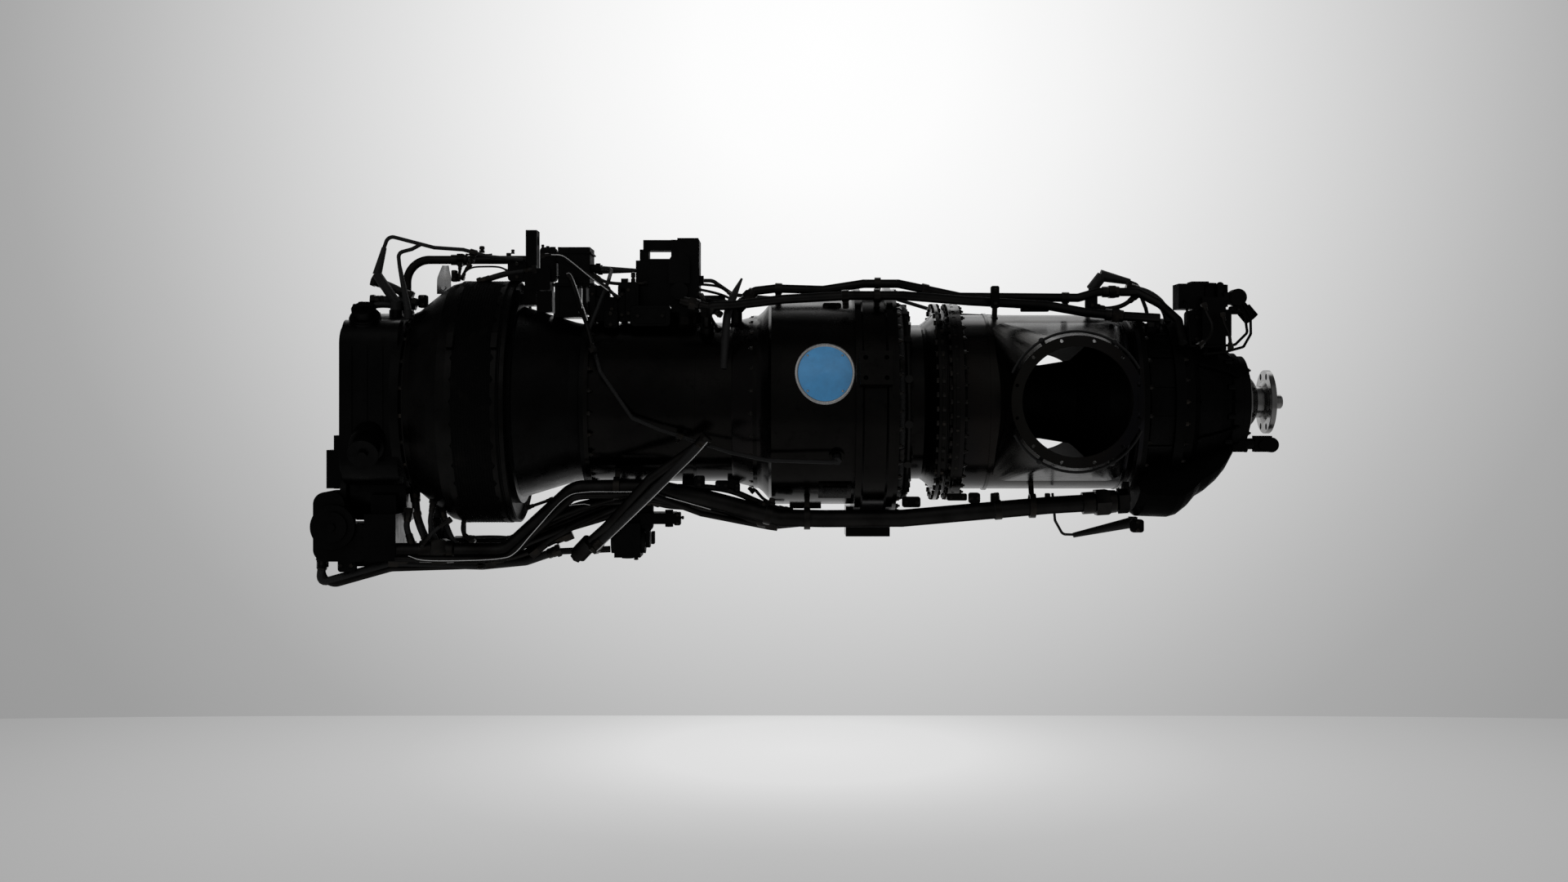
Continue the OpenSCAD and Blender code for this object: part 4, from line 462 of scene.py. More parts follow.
class Sketch:
    """Gathers the mesh of one piece from swept, turned and plated shapes."""

    def __init__(self):
        self.points, self.faces, self.slots, self.slot = [], [], [], 0

    def loft(self, rings, capped=True, loop=False):
        """Skins a row of rings, capped at its ends or joined into a loop."""
        base, count = len(self.points), len(rings[0])
        for ring in rings:
            self.points.extend(ring)
        starts = [base + k * count for k in range(len(rings))]
        for a, b in zip(starts, starts[1:] + (starts[:1] if loop else [])):
            for i in range(count):
                j = (i + 1) % count
                self.face(a + i, a + j, b + j, b + i)
        if capped and not loop:
            for start in (starts[0], starts[-1]):
                self.face(*range(start, start + count))

    def face(self, *corners):
        self.faces.append(corners)
        self.slots.append(self.slot)

    def sweep(self, path, radius, sides=12, loop=False, flat=1.0):
        """A tube along a path; radius is one number or one per point, flat squeezes it."""
        path = [Vector(p) for p in path]
        n = len(path)
        radii = radius if isinstance(radius, list) else [radius] * n
        u, rings = None, []
        for i, p in enumerate(path):
            before = path[i - 1 if i or loop else 0]
            after = path[(i + 1) % n if i < n - 1 or loop else i]
            t = (after - before).normalized()
            u = basis(t)[0] if u is None else (u - t * u.dot(t)).normalized()
            w = t.cross(u)
            rings.append([p + (u * cos(a) + w * sin(a) * flat) * radii[i]
                          for a in turn_angles(sides)])
        self.loft(rings, True, loop)

    def turn(self, profile, origin, axis, sides):
        """A solid turned round an axis, from rows of height and radius."""
        at = turned(origin, axis)
        self.loft([[at(h, max(r, LEAST_RADIUS), a) for a in turn_angles(sides)]
                   for h, r in profile])

    def ring(self, profile, origin, axis, sides):
        """A closed section turned round an axis, such as a washer or a band."""
        at = turned(origin, axis)
        self.loft([[at(h, r, a) for h, r in profile] for a in turn_angles(sides)], False, True)

    def slab(self, origin, normal, up, size, corner, bevel, steps=4):
        """A plate or block with rounded corners and a bevelled face, standing on its origin;
        size is its width, height and depth."""
        width, height, depth = size
        normal = Vector(normal).normalized()
        side = Vector(up).cross(normal).normalized()
        up = normal.cross(side)

        def outline(inset, lift):
            w, h, r = width / 2 - inset, height / 2 - inset, max(corner - inset, LEAST_CORNER)
            ring = []
            for k, (sx, sy) in enumerate(QUARTERS):
                for i in range(steps + 1):
                    a = pi / 2 * (k + i / steps)
                    ring.append(Vector(origin) + side * (sx * (w - r) + r * cos(a))
                                + up * (sy * (h - r) + r * sin(a)) + normal * lift)
            return ring

        self.loft([outline(0, 0), outline(0, depth - bevel), outline(bevel, depth)])

    def hexagon(self, origin, axis, across, height, start=0.0):
        """A hexagon nut or head with a chamfered top."""
        r = across / sqrt(3)
        profile = [(start, r), (start + height * 0.8, r), (start + height, r * 0.88)]
        self.turn(profile, origin, axis, 6)

    def build(self, name, finishes, slot=None, angle=35, body="engine"):
        """Makes the piece; edges sharper than the angle stay sharp."""
        mesh = bpy.data.meshes.new(name)
        mesh.from_pydata([tuple(p) for p in self.points], [], self.faces)
        for finish in finishes:
            mesh.materials.append(finish)
        mesh.polygons.foreach_set("material_index", self.slots)
        shape = bmesh.new()
        shape.from_mesh(mesh)
        bmesh.ops.recalc_face_normals(shape, faces=shape.faces)
        shape.to_mesh(mesh)
        shape.free()
        mesh.shade_smooth()
        mesh.set_sharp_from_angle(angle=radians(angle))
        made = placed(name, mesh)
        if body:
            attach(made, body)
        return made


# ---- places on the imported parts

FAR_OUT = 0.5  # farther from the axis than any part reaches
NEXT_CUT = 0.003
_trees, _welds = {}, {}


def hit(node, origin, direction):
    """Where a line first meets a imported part."""
    if node not in _trees:
        mesh = NODES[node].data
        _trees[node] = BVHTree.FromPolygons([v.co for v in mesh.vertices],
                                            [p.vertices for p in mesh.polygons])
    return _trees[node].ray_cast(Vector(origin), Vector(direction).normalized())[0]


def about_axis(x, angle, radius):
    """The point at a station, an angle and a radius; 0 is up, a quarter turn the near side."""
    return Vector((x, -sin(angle) * radius, cos(angle) * radius))


def round_spot(node, x, degrees):
    """The outermost point of a part at a station and an angle, and the way outwards there."""
    out = about_axis(0, radians(degrees), 1)
    return hit(node, Vector((x, 0, 0)) + out * FAR_OUT, -out), out


def girdle(node, x, lift, steps=360):
    """Points that hug a part all the way round at one station."""
    found = [round_spot(node, x, 360 * i / steps) for i in range(steps)]
    return [place + out * lift for place, out in found if place is not None]


def beside(node, *offsets):
    """Points at offsets in millimetres from the middle of a part's box."""
    low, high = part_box(node)
    return [(low + high) / 2 + Vector(offset) / 1000 for offset in offsets]


def rows(table):
    """The rows of a table that is grouped by part, each with the part's name in front."""
    return [(node, *row) for node, group in table.items() for row in group]


def welded(node):
    """A part's points and triangles with the points that coincide made one."""
    if node not in _welds:
        mesh = NODES[node].data
        points = np.zeros(len(mesh.vertices) * 3)
        mesh.vertices.foreach_get("co", points)
        points, back = np.unique(points.reshape(-1, 3).round(6), axis=0, return_inverse=True)
        mesh.calc_loop_triangles()
        corners = np.zeros(len(mesh.loop_triangles) * 3, int)
        mesh.loop_triangles.foreach_get("vertices", corners)
        _welds[node] = points, back.reshape(-1)[corners].reshape(-1, 3)
    return _welds[node]


def grouped(links):
    """Groups of things joined by a list of pairs."""
    parent = {}

    def top(a):
        while parent.setdefault(a, a) != a:
            parent[a] = parent[parent[a]]
            a = parent[a]
        return a

    for a, b in links:
        parent[top(a)] = top(b)
    groups = {}
    for a in list(parent):
        groups.setdefault(top(a), []).append(a)
    return list(groups.values())


def cut(node, x):
    """Centre and least radius of each loop in which a part crosses the plane at a station."""
    points, tris = welded(node)
    ahead = points[:, 0] > x
    links = []
    for tri in tris[(ahead[tris].sum(1) % 3) > 0]:
        edges = [tuple(sorted((int(tri[i]), int(tri[i - 1])))) for i in range(3)]
        links.append([e for e in edges if ahead[e[0]] != ahead[e[1]]])
    found = []
    for group in grouped(links):
        a, b = points[[e[0] for e in group]], points[[e[1] for e in group]]
        t = ((x - a[:, 0]) / (b[:, 0] - a[:, 0]))[:, None]
        on = a + (b - a) * t
        middle = (on.min(0) + on.max(0)) / 2
        found.append((Vector(middle), float(np.linalg.norm(on - middle, axis=1).min())))
    return found


def along(node, *spot):
    """Centre, direction and radius of the run of tube nearest a spot given in millimetres."""
    x, near = spot[0] / 1000, Vector(spot) / 1000
    centre, radius = min(cut(node, x), key=lambda loop: (loop[0] - near).length)
    ahead = min(cut(node, x + NEXT_CUT), key=lambda loop: (loop[0] - centre).length)[0]
    return centre, (ahead - centre).normalized(), radius


# ---- small hardware

# Profiles are rows of height and radius; these are shares of a size.
UNION_SLEEVE = [(-1, 1.02), (-1, 1.28), (-0.3, 1.28), (-0.3, 1.02)]
UNION_TAIL = [(0.55, 1.02), (0.55, 1.36), (0.95, 1.3), (1.05, 1.02)]
TUBE_SLEEVE = [(2.2, 1.02), (2.2, 1.35), (4.2, 1.3), (4.6, 1.02)]
FITTING_CAP = [(0.3, 0.6), (0.45, 0.6), (0.5, 1), (0.85, 1), (0.96, 0.8), (1, 0.4)]
RIVET_DOME = [(0, 1), (0.3, 0.92), (0.55, 0.62), (0.65, 0.2)]
# These have their heights in metres.
HOSE_COLLAR = [(-0.004, 0.9), (-0.004, 1.3), (0.004, 1.3), (0.0055, 1.18), (0.007, 1.3),
               (0.0085, 1.18), (0.01, 1.3), (0.014, 1.12), (0.015, 0.9)]
NECK_COLLAR = [(-0.012, 1.02), (-0.012, 1.2), (-0.004, 1.2), (-0.002, 1.12), (0.002, 1.12),
               (0.004, 1.2), (0.012, 1.2), (0.012, 1.02)]
WASHER = [(-0.0002, 0.5), (0.0011, 0.5), (0.0011, 1.12), (0.0008, 1.17), (-0.0002, 1.17)]
THREAD_PITCH = 0.0009
STUD = [(-0.0005, 1),
        *((h + k * THREAD_PITCH, r) for k in range(3) for h, r in ((0.0004, 1), (0.0008, 0.9))),
        (0.0032, 0.86), (0.0036, 0.5)]
# A loop clamp's bolt and its sizes, all in metres.
CLAMP_BOLT = [(0, 0.0023), (0.006, 0.0023), (0.0066, 0.0016)]
CLAMP_WIDE, CLAMP_STRAP, CLAMP_RUBBER = 0.0125, 0.0026, 0.0016


def union(sketch, place, way, radius, long):
    """Coupling nut with its sleeve on a run of tube."""
    sketch.turn(scaled(UNION_SLEEVE, long, radius), place, way, 20)
    sketch.hexagon(place, way, radius * 2.9, long * 0.85, -long * 0.25)
    sketch.turn(scaled(UNION_TAIL, long, radius), place, way, 20)


def p_clamp(sketch, place, way, radius, toward):
    """Cushioned loop clamp round a tube, with its tab and bolt; slot 0 metal, slot 1 rubber."""
    toward = (Vector(toward) - way * Vector(toward).dot(way)).normalized()
    h = CLAMP_WIDE / 2
    sketch.slot = 1
    sketch.ring(band(-h - 0.001, h + 0.001, radius, radius + CLAMP_RUBBER), place, way, 28)
    sketch.slot = 0
    sketch.ring(band(-h, h, radius + 0.0012, radius + CLAMP_STRAP), place, way, 28)
    side = way.cross(toward).normalized()
    foot = Vector(place) + toward * (radius + 0.0022)
    for s in (-1, 1):
        sketch.slab(foot + toward * 0.007 + side * 0.0008 * s, side * s, way,
                    (0.016, CLAMP_WIDE, 0.0013), 0.003, 0.0003)
    bolt = foot + toward * 0.009
    sketch.hexagon(bolt + side * 0.002, side, 0.0085, 0.0042)
    sketch.hexagon(bolt - side * 0.002, -side, 0.0095, 0.0052)
    sketch.turn(CLAMP_BOLT, bolt - side * 0.004, -side, 12)


def hose(sketch, path, radius):
    """Braided hose with a crimped collar and a nut at each end; slot 0 metal, slot 1 braid."""
    sketch.slot = 1
    sketch.sweep(path, radius, 14)
    sketch.slot = 0
    for end, way in ends(path):
        sketch.turn(scaled(HOSE_COLLAR, 1, radius), end, way, 24)
        sketch.hexagon(end - way * 0.004, -way, radius * 3.0, 0.009)


# ---- pieces

BADGE_FACE = 0.0575
BADGE_LEAN = radians(15.4)
BADGE_ARC = 1.05
BADGE_GAP = 0.0012
BADGE_ROWS = [(0, 0.0034), (0.5, 0.0034), (0.9, 0.0031), (0.915, 0.0046), (0.96, 0.0054),
              (1, 0.0044)]
BADGE_SKIRT = (BADGE_FACE + 0.0006, 0.0006)
BADGE_RIVETS, BADGE_RIVET = 4, 0.0024


def make_badge(finishes):
    """Round badge on the near side of the hot case, just behind the mount ring, left blank."""
    out = Vector((0, -cos(BADGE_LEAN), sin(BADGE_LEAN)))
    case_x = sum(corner.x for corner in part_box("gas_generator_case")) / 2 - 0.04
    surface = hit("gas_generator_case", Vector((case_x, 0, 0)) + out * FAR_OUT, -out)
    radius = hypot(surface.y, surface.z)
    behind = Vector((case_x, 0, 0)) + out * (radius + 0.012)
    x = hit("engine_mount_ring", behind, X_AXIS).x - BADGE_FACE - BADGE_GAP

    def on_case(reach, turn, lift):
        angle = BADGE_LEAN + sin(turn) * reach * BADGE_ARC / radius
        up = Vector((0, -cos(angle), sin(angle)))
        return Vector((x + cos(turn) * reach, 0, 0)) + up * (radius + lift), up

    sketch = Sketch()
    outline = [(BADGE_FACE * share, lift) for share, lift in BADGE_ROWS] + [BADGE_SKIRT]
    rings = [[on_case(reach, turn, lift)[0] for turn in turn_angles(96)]
             for reach, lift in outline]
    sketch.loft(rings[:3], False)
    sketch.slot = 1
    sketch.loft(rings[2:], False)
    for k in range(BADGE_RIVETS):
        place, up = on_case(BADGE_FACE * 0.82, radians(45 + 90 * k), 0.0031)
        sketch.turn(scaled(RIVET_DOME, BADGE_RIVET, BADGE_RIVET), place, up, 14)
    sketch.build("badge", finishes, "case_steel", 50)


RIB_PITCH = 0.0052
RIB_SHAPE = [(0.15, 0.001), (0.35, 0.0019), (0.5, 0.0022), (0.65, 0.0019), (0.85, 0.001)]
CLOTH_LIFT = 0.0002
RIM_DEPTH, RIM_SPREAD = 0.003, 0.0003


def make_screen_cloth(finish):
    """Ribbed wire cloth stretched round the air inlet's perforated shell."""
    low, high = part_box("inlet_screen")
    shell = [(x, round_spot("inlet_screen", x, 40)[0]) for x in np.linspace(low.x, high.x, 60)]
    shell = [(x, hypot(p.y, p.z)) for x, p in shell if p is not None]
    rim = min(r for x, r in shell if r > high.z - RIM_DEPTH)
    flat = [x for x, r in shell if rim - RIM_SPREAD < r < rim + RIM_SPREAD]
    start, end = min(flat) + 0.002, max(flat) + 0.001
    ribs = int((end - start) / RIB_PITCH)
    pitch = (end - start) / ribs
    outline = [(start, rim + CLOTH_LIFT)]
    for k in range(ribs):
        outline += [(start + pitch * (k + t), rim + lift) for t, lift in RIB_SHAPE]
    outline.append((end, rim + CLOTH_LIFT))
    sketch = Sketch()
    sketch.ring(outline, (0, 0, 0), X_AXIS, 180)
    sketch.build("screen_cloth", [finish], "screen_steel", 60)


def make_bolt_detail(finish):
    """Washer under each flange bolt's head and a threaded end above its nut."""
    points, tris = welded("flange_bolts")
    sketch = Sketch()
    for group in grouped([(int(t[0]), int(t[k])) for t in tris for k in (1, 2)]):
        on = points[group]
        low, high = on.min(0), on.max(0)
        size, middle = high - low, (low + high) / 2
        unlike = [abs(size[(k + 1) % 3] - size[(k + 2) % 3]) for k in range(3)]
        axis = int(np.argmin(unlike))
        sides = [k for k in range(3) if k != axis]
        reach = np.hypot(*(on[:, k] - middle[k] for k in sides))
        r = reach.max()
        head = on[reach > r * 0.93][:, axis]
        under, top = head.min(), head.max()
        way = 1 if middle[axis] < (under + top) / 2 else -1
        if way < 0:
            under, top = top, under
        normal = Vector([way if k == axis else 0 for k in range(3)])
        place = Vector(middle)
        place[axis] = under
        sketch.ring(scaled(WASHER, 1, r), place, normal, 20)
        place[axis] = top
        sketch.turn(scaled(STUD, 1, r * 0.5), place, normal, 14)
    sketch.build("bolt_washers", [finish], "fastener_steel")


WELD_SINK = -0.0002
WELD_RADIUS, WELD_RIPPLE, RIPPLE_STEP = 0.0017, 0.0005, 1.9


def make_weld_beads(finish):
    """Rippled weld beads round the exhaust duct and the turbine neck."""
    low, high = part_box("exhaust_duct")
    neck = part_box("gas_generator_case")[1].x - 0.022
    sketch = Sketch()
    for node, x in (("exhaust_duct", low.x + 0.013), ("exhaust_duct", high.x - 0.03),
                    ("gas_generator_case", neck)):
        path = girdle(node, x, WELD_SINK)
        radii = [WELD_RADIUS + WELD_RIPPLE * abs(sin(i * RIPPLE_STEP))
                 for i in range(len(path))]
        sketch.sweep(path, radii, 8, True)
    sketch.build("weld_beads", [finish], "duct_steel", 60)


# Loop clamps: part, a spot on it in millimetres, and the way that the tab points.
CLAMP_SPOTS = {
    "oil_pressure_tube": [
        ((-990, -110, 230), (0, 0.4, -1)), ((-700, -110, 230), (0, 0.4, -1)),
        ((-420, -110, 200), (0, 0.4, -1)),
    ],
    "compressor_air_tube": [((-1120, -110, 230), (0, 0.4, -1)), ((-860, -110, 230), (0, 0.4, -1))],
    "scavenge_tube": [((-560, -110, -200), (0, 0.2, 1)), ((-1010, -110, -250), (0, 0.2, 1))],
    "electrical_harness": [((-1600, -40, 300), (0, 0.2, -1)), ((-1180, -180, -40), (0, 1, -0.3))],
}

# Couplings: part and a spot on it in millimetres.
UNION_SPOTS = {
    "oil_pressure_tube": [(-1050, -110, 230), (-330, -110, 200)],
    "compressor_air_tube": [(-1160, -110, 230), (-330, -110, 200)],
    "scavenge_tube": [(-360, -110, -200), (-1660, -110, -300)],
    "breather_tube": [(-1640, 30, 300)],
}


def make_clamps(metal, rubber):
    """Loop clamps and couplings along the tubes."""
    clamps, unions = Sketch(), Sketch()
    for node, spot, toward in rows(CLAMP_SPOTS):
        p_clamp(clamps, *along(node, *spot), toward)
    for node, *spot in rows(UNION_SPOTS):
        place, way, radius = along(node, *spot)
        union(unions, place, way, radius, max(radius * 2.0, 0.012))
    clamps.build("loop_clamps", [metal, rubber], "fastener_steel")
    unions.build("tube_couplings", [metal], "fastener_steel")


# The tables below are grouped by the part that a piece lies near. Their places are in
# millimetres from the middle of that part's box.

# Fine tubes: radius and points.
FINE_TUBES = {
    "ignition_exciter": [
        (3.2, [(-62, -60, 46), (-21, -62, 46), (-8, -64, 34), (56, -84, -8), (95, -96, -42)]),
        (4.2, [(-6, -66, 10), (9, -84, -30), (20, -112, -61), (37, -148, -93), (54, -172, -150)]),
    ],
    "bleed_valve_body": [
        (2.6, [(50, -10, -13), (73, -10, -14), (100, -10, -19), (124, -10, -36)]),
        (2.6, [(51, -24, -23), (77, -24, -28), (103, -24, -35), (128, -24, -46)]),
        (2.6, [(55, -34, -35), (81, -34, -45), (107, -34, -47), (133, -34, -53)]),
        (3.4, [(62, -56, -37), (73, -64, -58), (86, -80, -88), (100, -102, -108)]),
    ],
    "breather_tube": [
        (3.0, [(0, -41, 33), (0, -47, 17), (-2, -55, -1)]),
        (3.0, [(18, -27, 32), (9, -31, 20), (3, -37, 2)]),
        (1.2, [(7, -9, 54), (35, -9, 54), (58, -9, 54)]),
        (1.8, [(6, -51, 1), (12, -51, 15), (26, -51, 24), (49, -51, 26), (80, -51, 25),
            (99, -51, 17)]),
    ],
    "fuel_heater": [
        (2.6, [(44, -85, 57), (89, -85, 42), (134, -81, 29)]),
    ],
    "lower_tubes": [
        (3.0, [(333, -5, 38), (329, -5, 42), (336, -5, 42), (352, -3, 25), (373, 1, 13)]),
        (2.6, [(-232, 11, -52), (-203, 11, -51), (-174, 11, -51), (-145, 15, -53)]),
        (8, [(-389, 17, -98), (-256, 17, -101), (-184, 17, -98), (-126, 15, -69), (-45, 17, -37),
            (44, 31, -10), (99, 41, 14)]),
        (6, [(-193, -9, -86), (-167, -9, -73), (-122, -9, -44), (-77, -9, -20), (-26, -3, 0),
            (29, 5, 18), (88, 21, 31)]),
        (6, [(146, -19, 49), (194, -19, 49), (245, -19, 48), (292, -19, 40), (352, -11, 15),
            (406, 1, -3)]),
        (8, [(-110, 21, -85), (-74, 17, -58), (-29, 17, -32), (16, 21, -12), (70, 31, 10),
            (123, 41, 30)]),
        (6, [(-54, 11, -4), (-18, 11, 11), (28, 15, 22), (78, 21, 36)]),
        (8, [(-198, 21, -103), (-156, 21, -95), (-114, 23, -82), (-75, 25, -63), (-30, 29, -44)]),
        (9, [(110, 21, 30), (157, 21, 14), (214, 15, 9), (266, 11, 0), (320, 5, -15),
            (380, 1, -24)]),
        (3, [(-112, -15, 8), (-89, -15, 16), (-62, -15, 25)]),
        (7, [(-108, 31, -52), (-63, 31, -33), (-21, 31, -15), (26, 35, 3), (73, 41, 19)]),
        (4, [(-51, 15, 12), (-19, 15, 24), (14, 15, 28), (52, 21, 31)]),
    ],
    "propeller_governor": [
        (3.6, [(-45, -66, 26), (-40, -72, 7), (-32, -80, -16), (-39, -90, -38), (-63, -102, -58)]),
        (3.4, [(-8, -64, 7), (-5, -72, -15), (1, -82, -35), (1, -94, -64)]),
    ],
    "exhaust_duct": [
        (4.5, [(104, -44, 189), (130, -44, 186), (156, -44, 191), (175, -44, 202),
            (188, -44, 214)]),
    ],
}

# Painted highlights: thin polished rods that stand for highlight lines along the tubes; the same,
# without fittings.
HIGHLIGHT_LINES = {
    "lower_tubes": [
        (0.9, [(30, -69, -73), (127, -109, 19), (174, -119, 65), (222, -129, 112),
            (247, -133, 140)]),
        (0.9, [(-339, -49, -84), (-306, -53, -92), (-226, -57, -92), (-159, -59, -88),
            (-130, -61, -77), (-96, -61, -39), (-36, -59, 26), (2, -55, 40), (75, -49, 41),
            (122, -43, 41)]),
        (0.8, [(-131, -23, -72), (-88, -23, -26), (-41, -17, 8), (-6, -11, 15), (10, -7, 13)]),
        (0.8, [(163, -59, 32), (206, -59, 20), (250, -53, 7)]),
    ],
    "ignition_exciter": [
        (1.1, [(-41, -70, 47), (-20, -70, 45), (0, -76, 32), (37, -92, 2), (76, -106, -27)]),
        (1.3, [(-10, -74, 9), (-1, -80, 7), (11, -92, -19), (23, -106, -51), (39, -150, -86)]),
    ],
}

# Hoses: the same, with a braided cover and a fitting at each end.
HOSES = {
    "ignition_exciter": [
        (3.4, [(38, -20, 10), (63, -24, -4), (100, -24, -8), (134, -20, -7)]),
    ],
    "inlet_screen": [
        (6, [(30, -24, 243), (56, -24, 252), (85, -24, 259), (124, -24, 264)]),
    ],
    "lower_tubes": [
        (8, [(29, -57, -63), (121, -95, 26), (169, -105, 72), (215, -115, 118), (237, -119, 142)]),
    ],
    "reduction_gearbox_rear_housing": [
        (8, [(-35, -40, 251), (-6, -40, 243), (19, -40, 226), (33, -40, 203), (38, -40, 179),
            (46, -40, 161)]),
    ],
    "accessory_gearbox_housing": [
        (5, [(114, -110, -139), (110, -112, -173), (118, -104, -204), (129, -96, -219)]),
        (5, [(133, -100, -157), (143, -104, -186), (154, -100, -210), (169, -92, -224)]),
        (4, [(142, -124, -172), (120, -124, -188), (100, -118, -211)]),
        (6, [(65, -104, -157), (62, -104, -181), (69, -100, -209)]),
        (5, [(86, -112, -163), (91, -112, -185), (99, -104, -212)]),
        (8, [(63, -30, -123), (67, -30, -162), (78, -34, -194), (94, -40, -223)]),
        (9, [(99, -30, -116), (105, -30, -154), (117, -34, -188), (136, -40, -223)]),
        (4, [(168, -60, -166), (164, -60, -186), (168, -62, -200), (178, -64, -208)]),
        (7, [(-36, -30, 255), (0, -30, 259), (45, -30, 254)]),
        (8, [(-14, -24, 267), (19, -24, 269), (53, -24, 262)]),
        (8, [(-13, -20, 305), (15, -20, 294), (44, -20, 279)]),
    ],
}

# Corners of the braided return line that loops under the fuel control unit.
RETURN_LINE = [(-523, 17, -103), (-529, 17, -144), (-387, 17, -104), (-206, 19, -109),
               (-120, 23, -101), (-64, 27, -82)]
RETURN_BEND, RETURN_RADIUS = 0.026, 0.0083

# A flattened lead from the bleed valve down to the case, thin at the valve.
VALVE_LEAD = [(144, -60, -5), (129, -74, -38), (117, -94, -76), (113, -118, -131),
              (110, -132, -186)]
LEAD_TIP, LEAD_GROWTH, LEAD_TAPER, LEAD_FLAT = 0.0025, 0.0062, 9, 0.8

# Brackets and blocks: x, y and z of the middle, then width, depth and height.
BLOCKS = {
    "lifting_bracket": [(21, -4, -4, 33, 26, 69)],
    "ignition_exciter": [
        (39, -50, -52, 13, 12, 72), (97, -44, -51, 16, 16, 68), (77, -60, -81, 28, 30, 36),
        (110, -36, -45, 42, 30, 78), (60, -36, -60, 57, 30, 49), (51, -30, -25, 41, 24, 26),
    ],
    "bleed_valve_body": [(-37, -50, -79, 81, 34, 42), (85, -6, -47, 49, 20, 23)],
    "inlet_screen": [
        (-28, -30, 252, 11, 12, 23), (-98, 6, 203, 18, 16, 26), (97, -16, 263, 38, 24, 43),
    ],
    "fuel_heater": [
        (19, -11, -31, 7, 20, 25), (68, -11, 7, 13, 26, 26), (47, -11, 9, 36, 12, 15),
        (-7, -5, 16, 52, 24, 69),
    ],
    "scavenge_tube": [
        (-126, -12, 76, 21, 14, 22), (-82, -12, 68, 26, 14, 19), (-52, -12, 63, 11, 12, 16),
        (0, -7, 22, 24, 14, 30),
    ],
    "gas_generator_case": [(-48, -66, 189, 37, 34, 21), (110, -60, -195, 36, 14, 21)],
    "exhaust_duct": [
        (98, -40, 203, 23, 16, 34), (-22, -90, 183, 55, 12, 11), (-176, -100, -187, 39, 8, 14),
        (-142, -100, -189, 22, 16, 21), (-103, -100, -189, 13, 16, 19), (2, -100, -186, 10, 10, 13),
        (103, -100, -185, 21, 10, 6),
    ],
    "oil_pressure_tube": [(72, -44, 28, 16, 14, 43)],
    "reduction_gearbox_rear_housing": [(10, -60, 185, 13, 14, 31), (-29, -60, -221, 26, 12, 26)],
    "propeller_governor": [(32, 2, 17, 21, 12, 16), (-47, 2, -19, 36, 30, 71)],
    "lower_tubes": [(-470, 1, -106, 34, 20, 27)],
    "accessory_gearbox_housing": [(111, -60, -188, 26, 30, 42)],
}
BLOCK_CORNER, BLOCK_COVER, BLOCK_BOLT = 0.22, 0.74, 0.0075

# Capped fittings: foot, direction, radius and height.
FITTINGS = {
    "breather_tube": [((37, 0, 58), (0, 0, 1), 5.5, 14), ((100, 0, 56), (0, 0, 1), 3.5, 9)],
    "lifting_bracket": [((9, -4, 28), (0, 0, 1), 3.0, 9), ((19, -4, 28), (0, 0, 1), 3.5, 6)],
    "ignition_exciter": [((117, -20, -5), (0, 0, 1), 4.5, 21)],
    "lower_tubes": [((-209, 11, -107), (0, 0, -1), 6.5, 8)],
    "fuel_heater": [
        ((-15, -11, -70), (0, 0, -1), 4.5, 6), ((72, -11, 9), (1, 0, 0), 3.5, 9),
        ((46, -11, 2), (0, 0, -1), 3.0, 8),
    ],
    "accessory_gearbox_housing": [
        ((-62, -30, 241), (0, 0, 1), 1.6, 12), ((-49, -30, 241), (0, 0, 1), 1.6, 10),
        ((-37, -30, 242), (0, 0, 1), 2.4, 12),
    ],
}


def make_fine_tubes(metal, nuts):
    """Thin tubes with a nut and a sleeve at each end."""
    sketch = Sketch()
    for node, radius, offsets in rows(FINE_TUBES):
        path, r = flowing(beside(node, *offsets)), radius / 1000
        sketch.slot = 0
        sketch.sweep(path, r, 12)
        sketch.slot = 1
        for end, way in ends(path):
            sketch.hexagon(end - way * 0.001, way, r * 3.2, r * 2.6)
            sketch.turn(scaled(TUBE_SLEEVE, r, r), end, way, 16)
    sketch.build("fine_tubes", [metal, nuts], "tube_steel")


# Thin bright rods as painted highlights along the tubes.
def make_highlight_lines(metal):
    sketch = Sketch()
    for node, radius, offsets in rows(HIGHLIGHT_LINES):
        sketch.sweep(flowing(beside(node, *offsets)), radius / 1000, 10)
    sketch.build("painted_highlight_lines", [metal], "bright_steel")


def make_hoses(metal, braid):
    """Small braided hoses, the return line's cover and the bleed valve's lead."""
    sketch = Sketch()
    for node, radius, offsets in rows(HOSES):
        hose(sketch, flowing(beside(node, *offsets)), radius / 1000)
    hose(sketch, rounded(beside("lower_tubes", *RETURN_LINE), RETURN_BEND), RETURN_RADIUS)
    path = flowing(beside("bleed_valve_body", *VALVE_LEAD))
    radii = [LEAD_TIP + LEAD_GROWTH * min(1.0, i / LEAD_TAPER) for i in range(len(path))]
    sketch.slot = 1
    sketch.sweep(path, radii, 16, flat=LEAD_FLAT)
    sketch.build("small_hoses", [metal, braid], "harness_rubber")


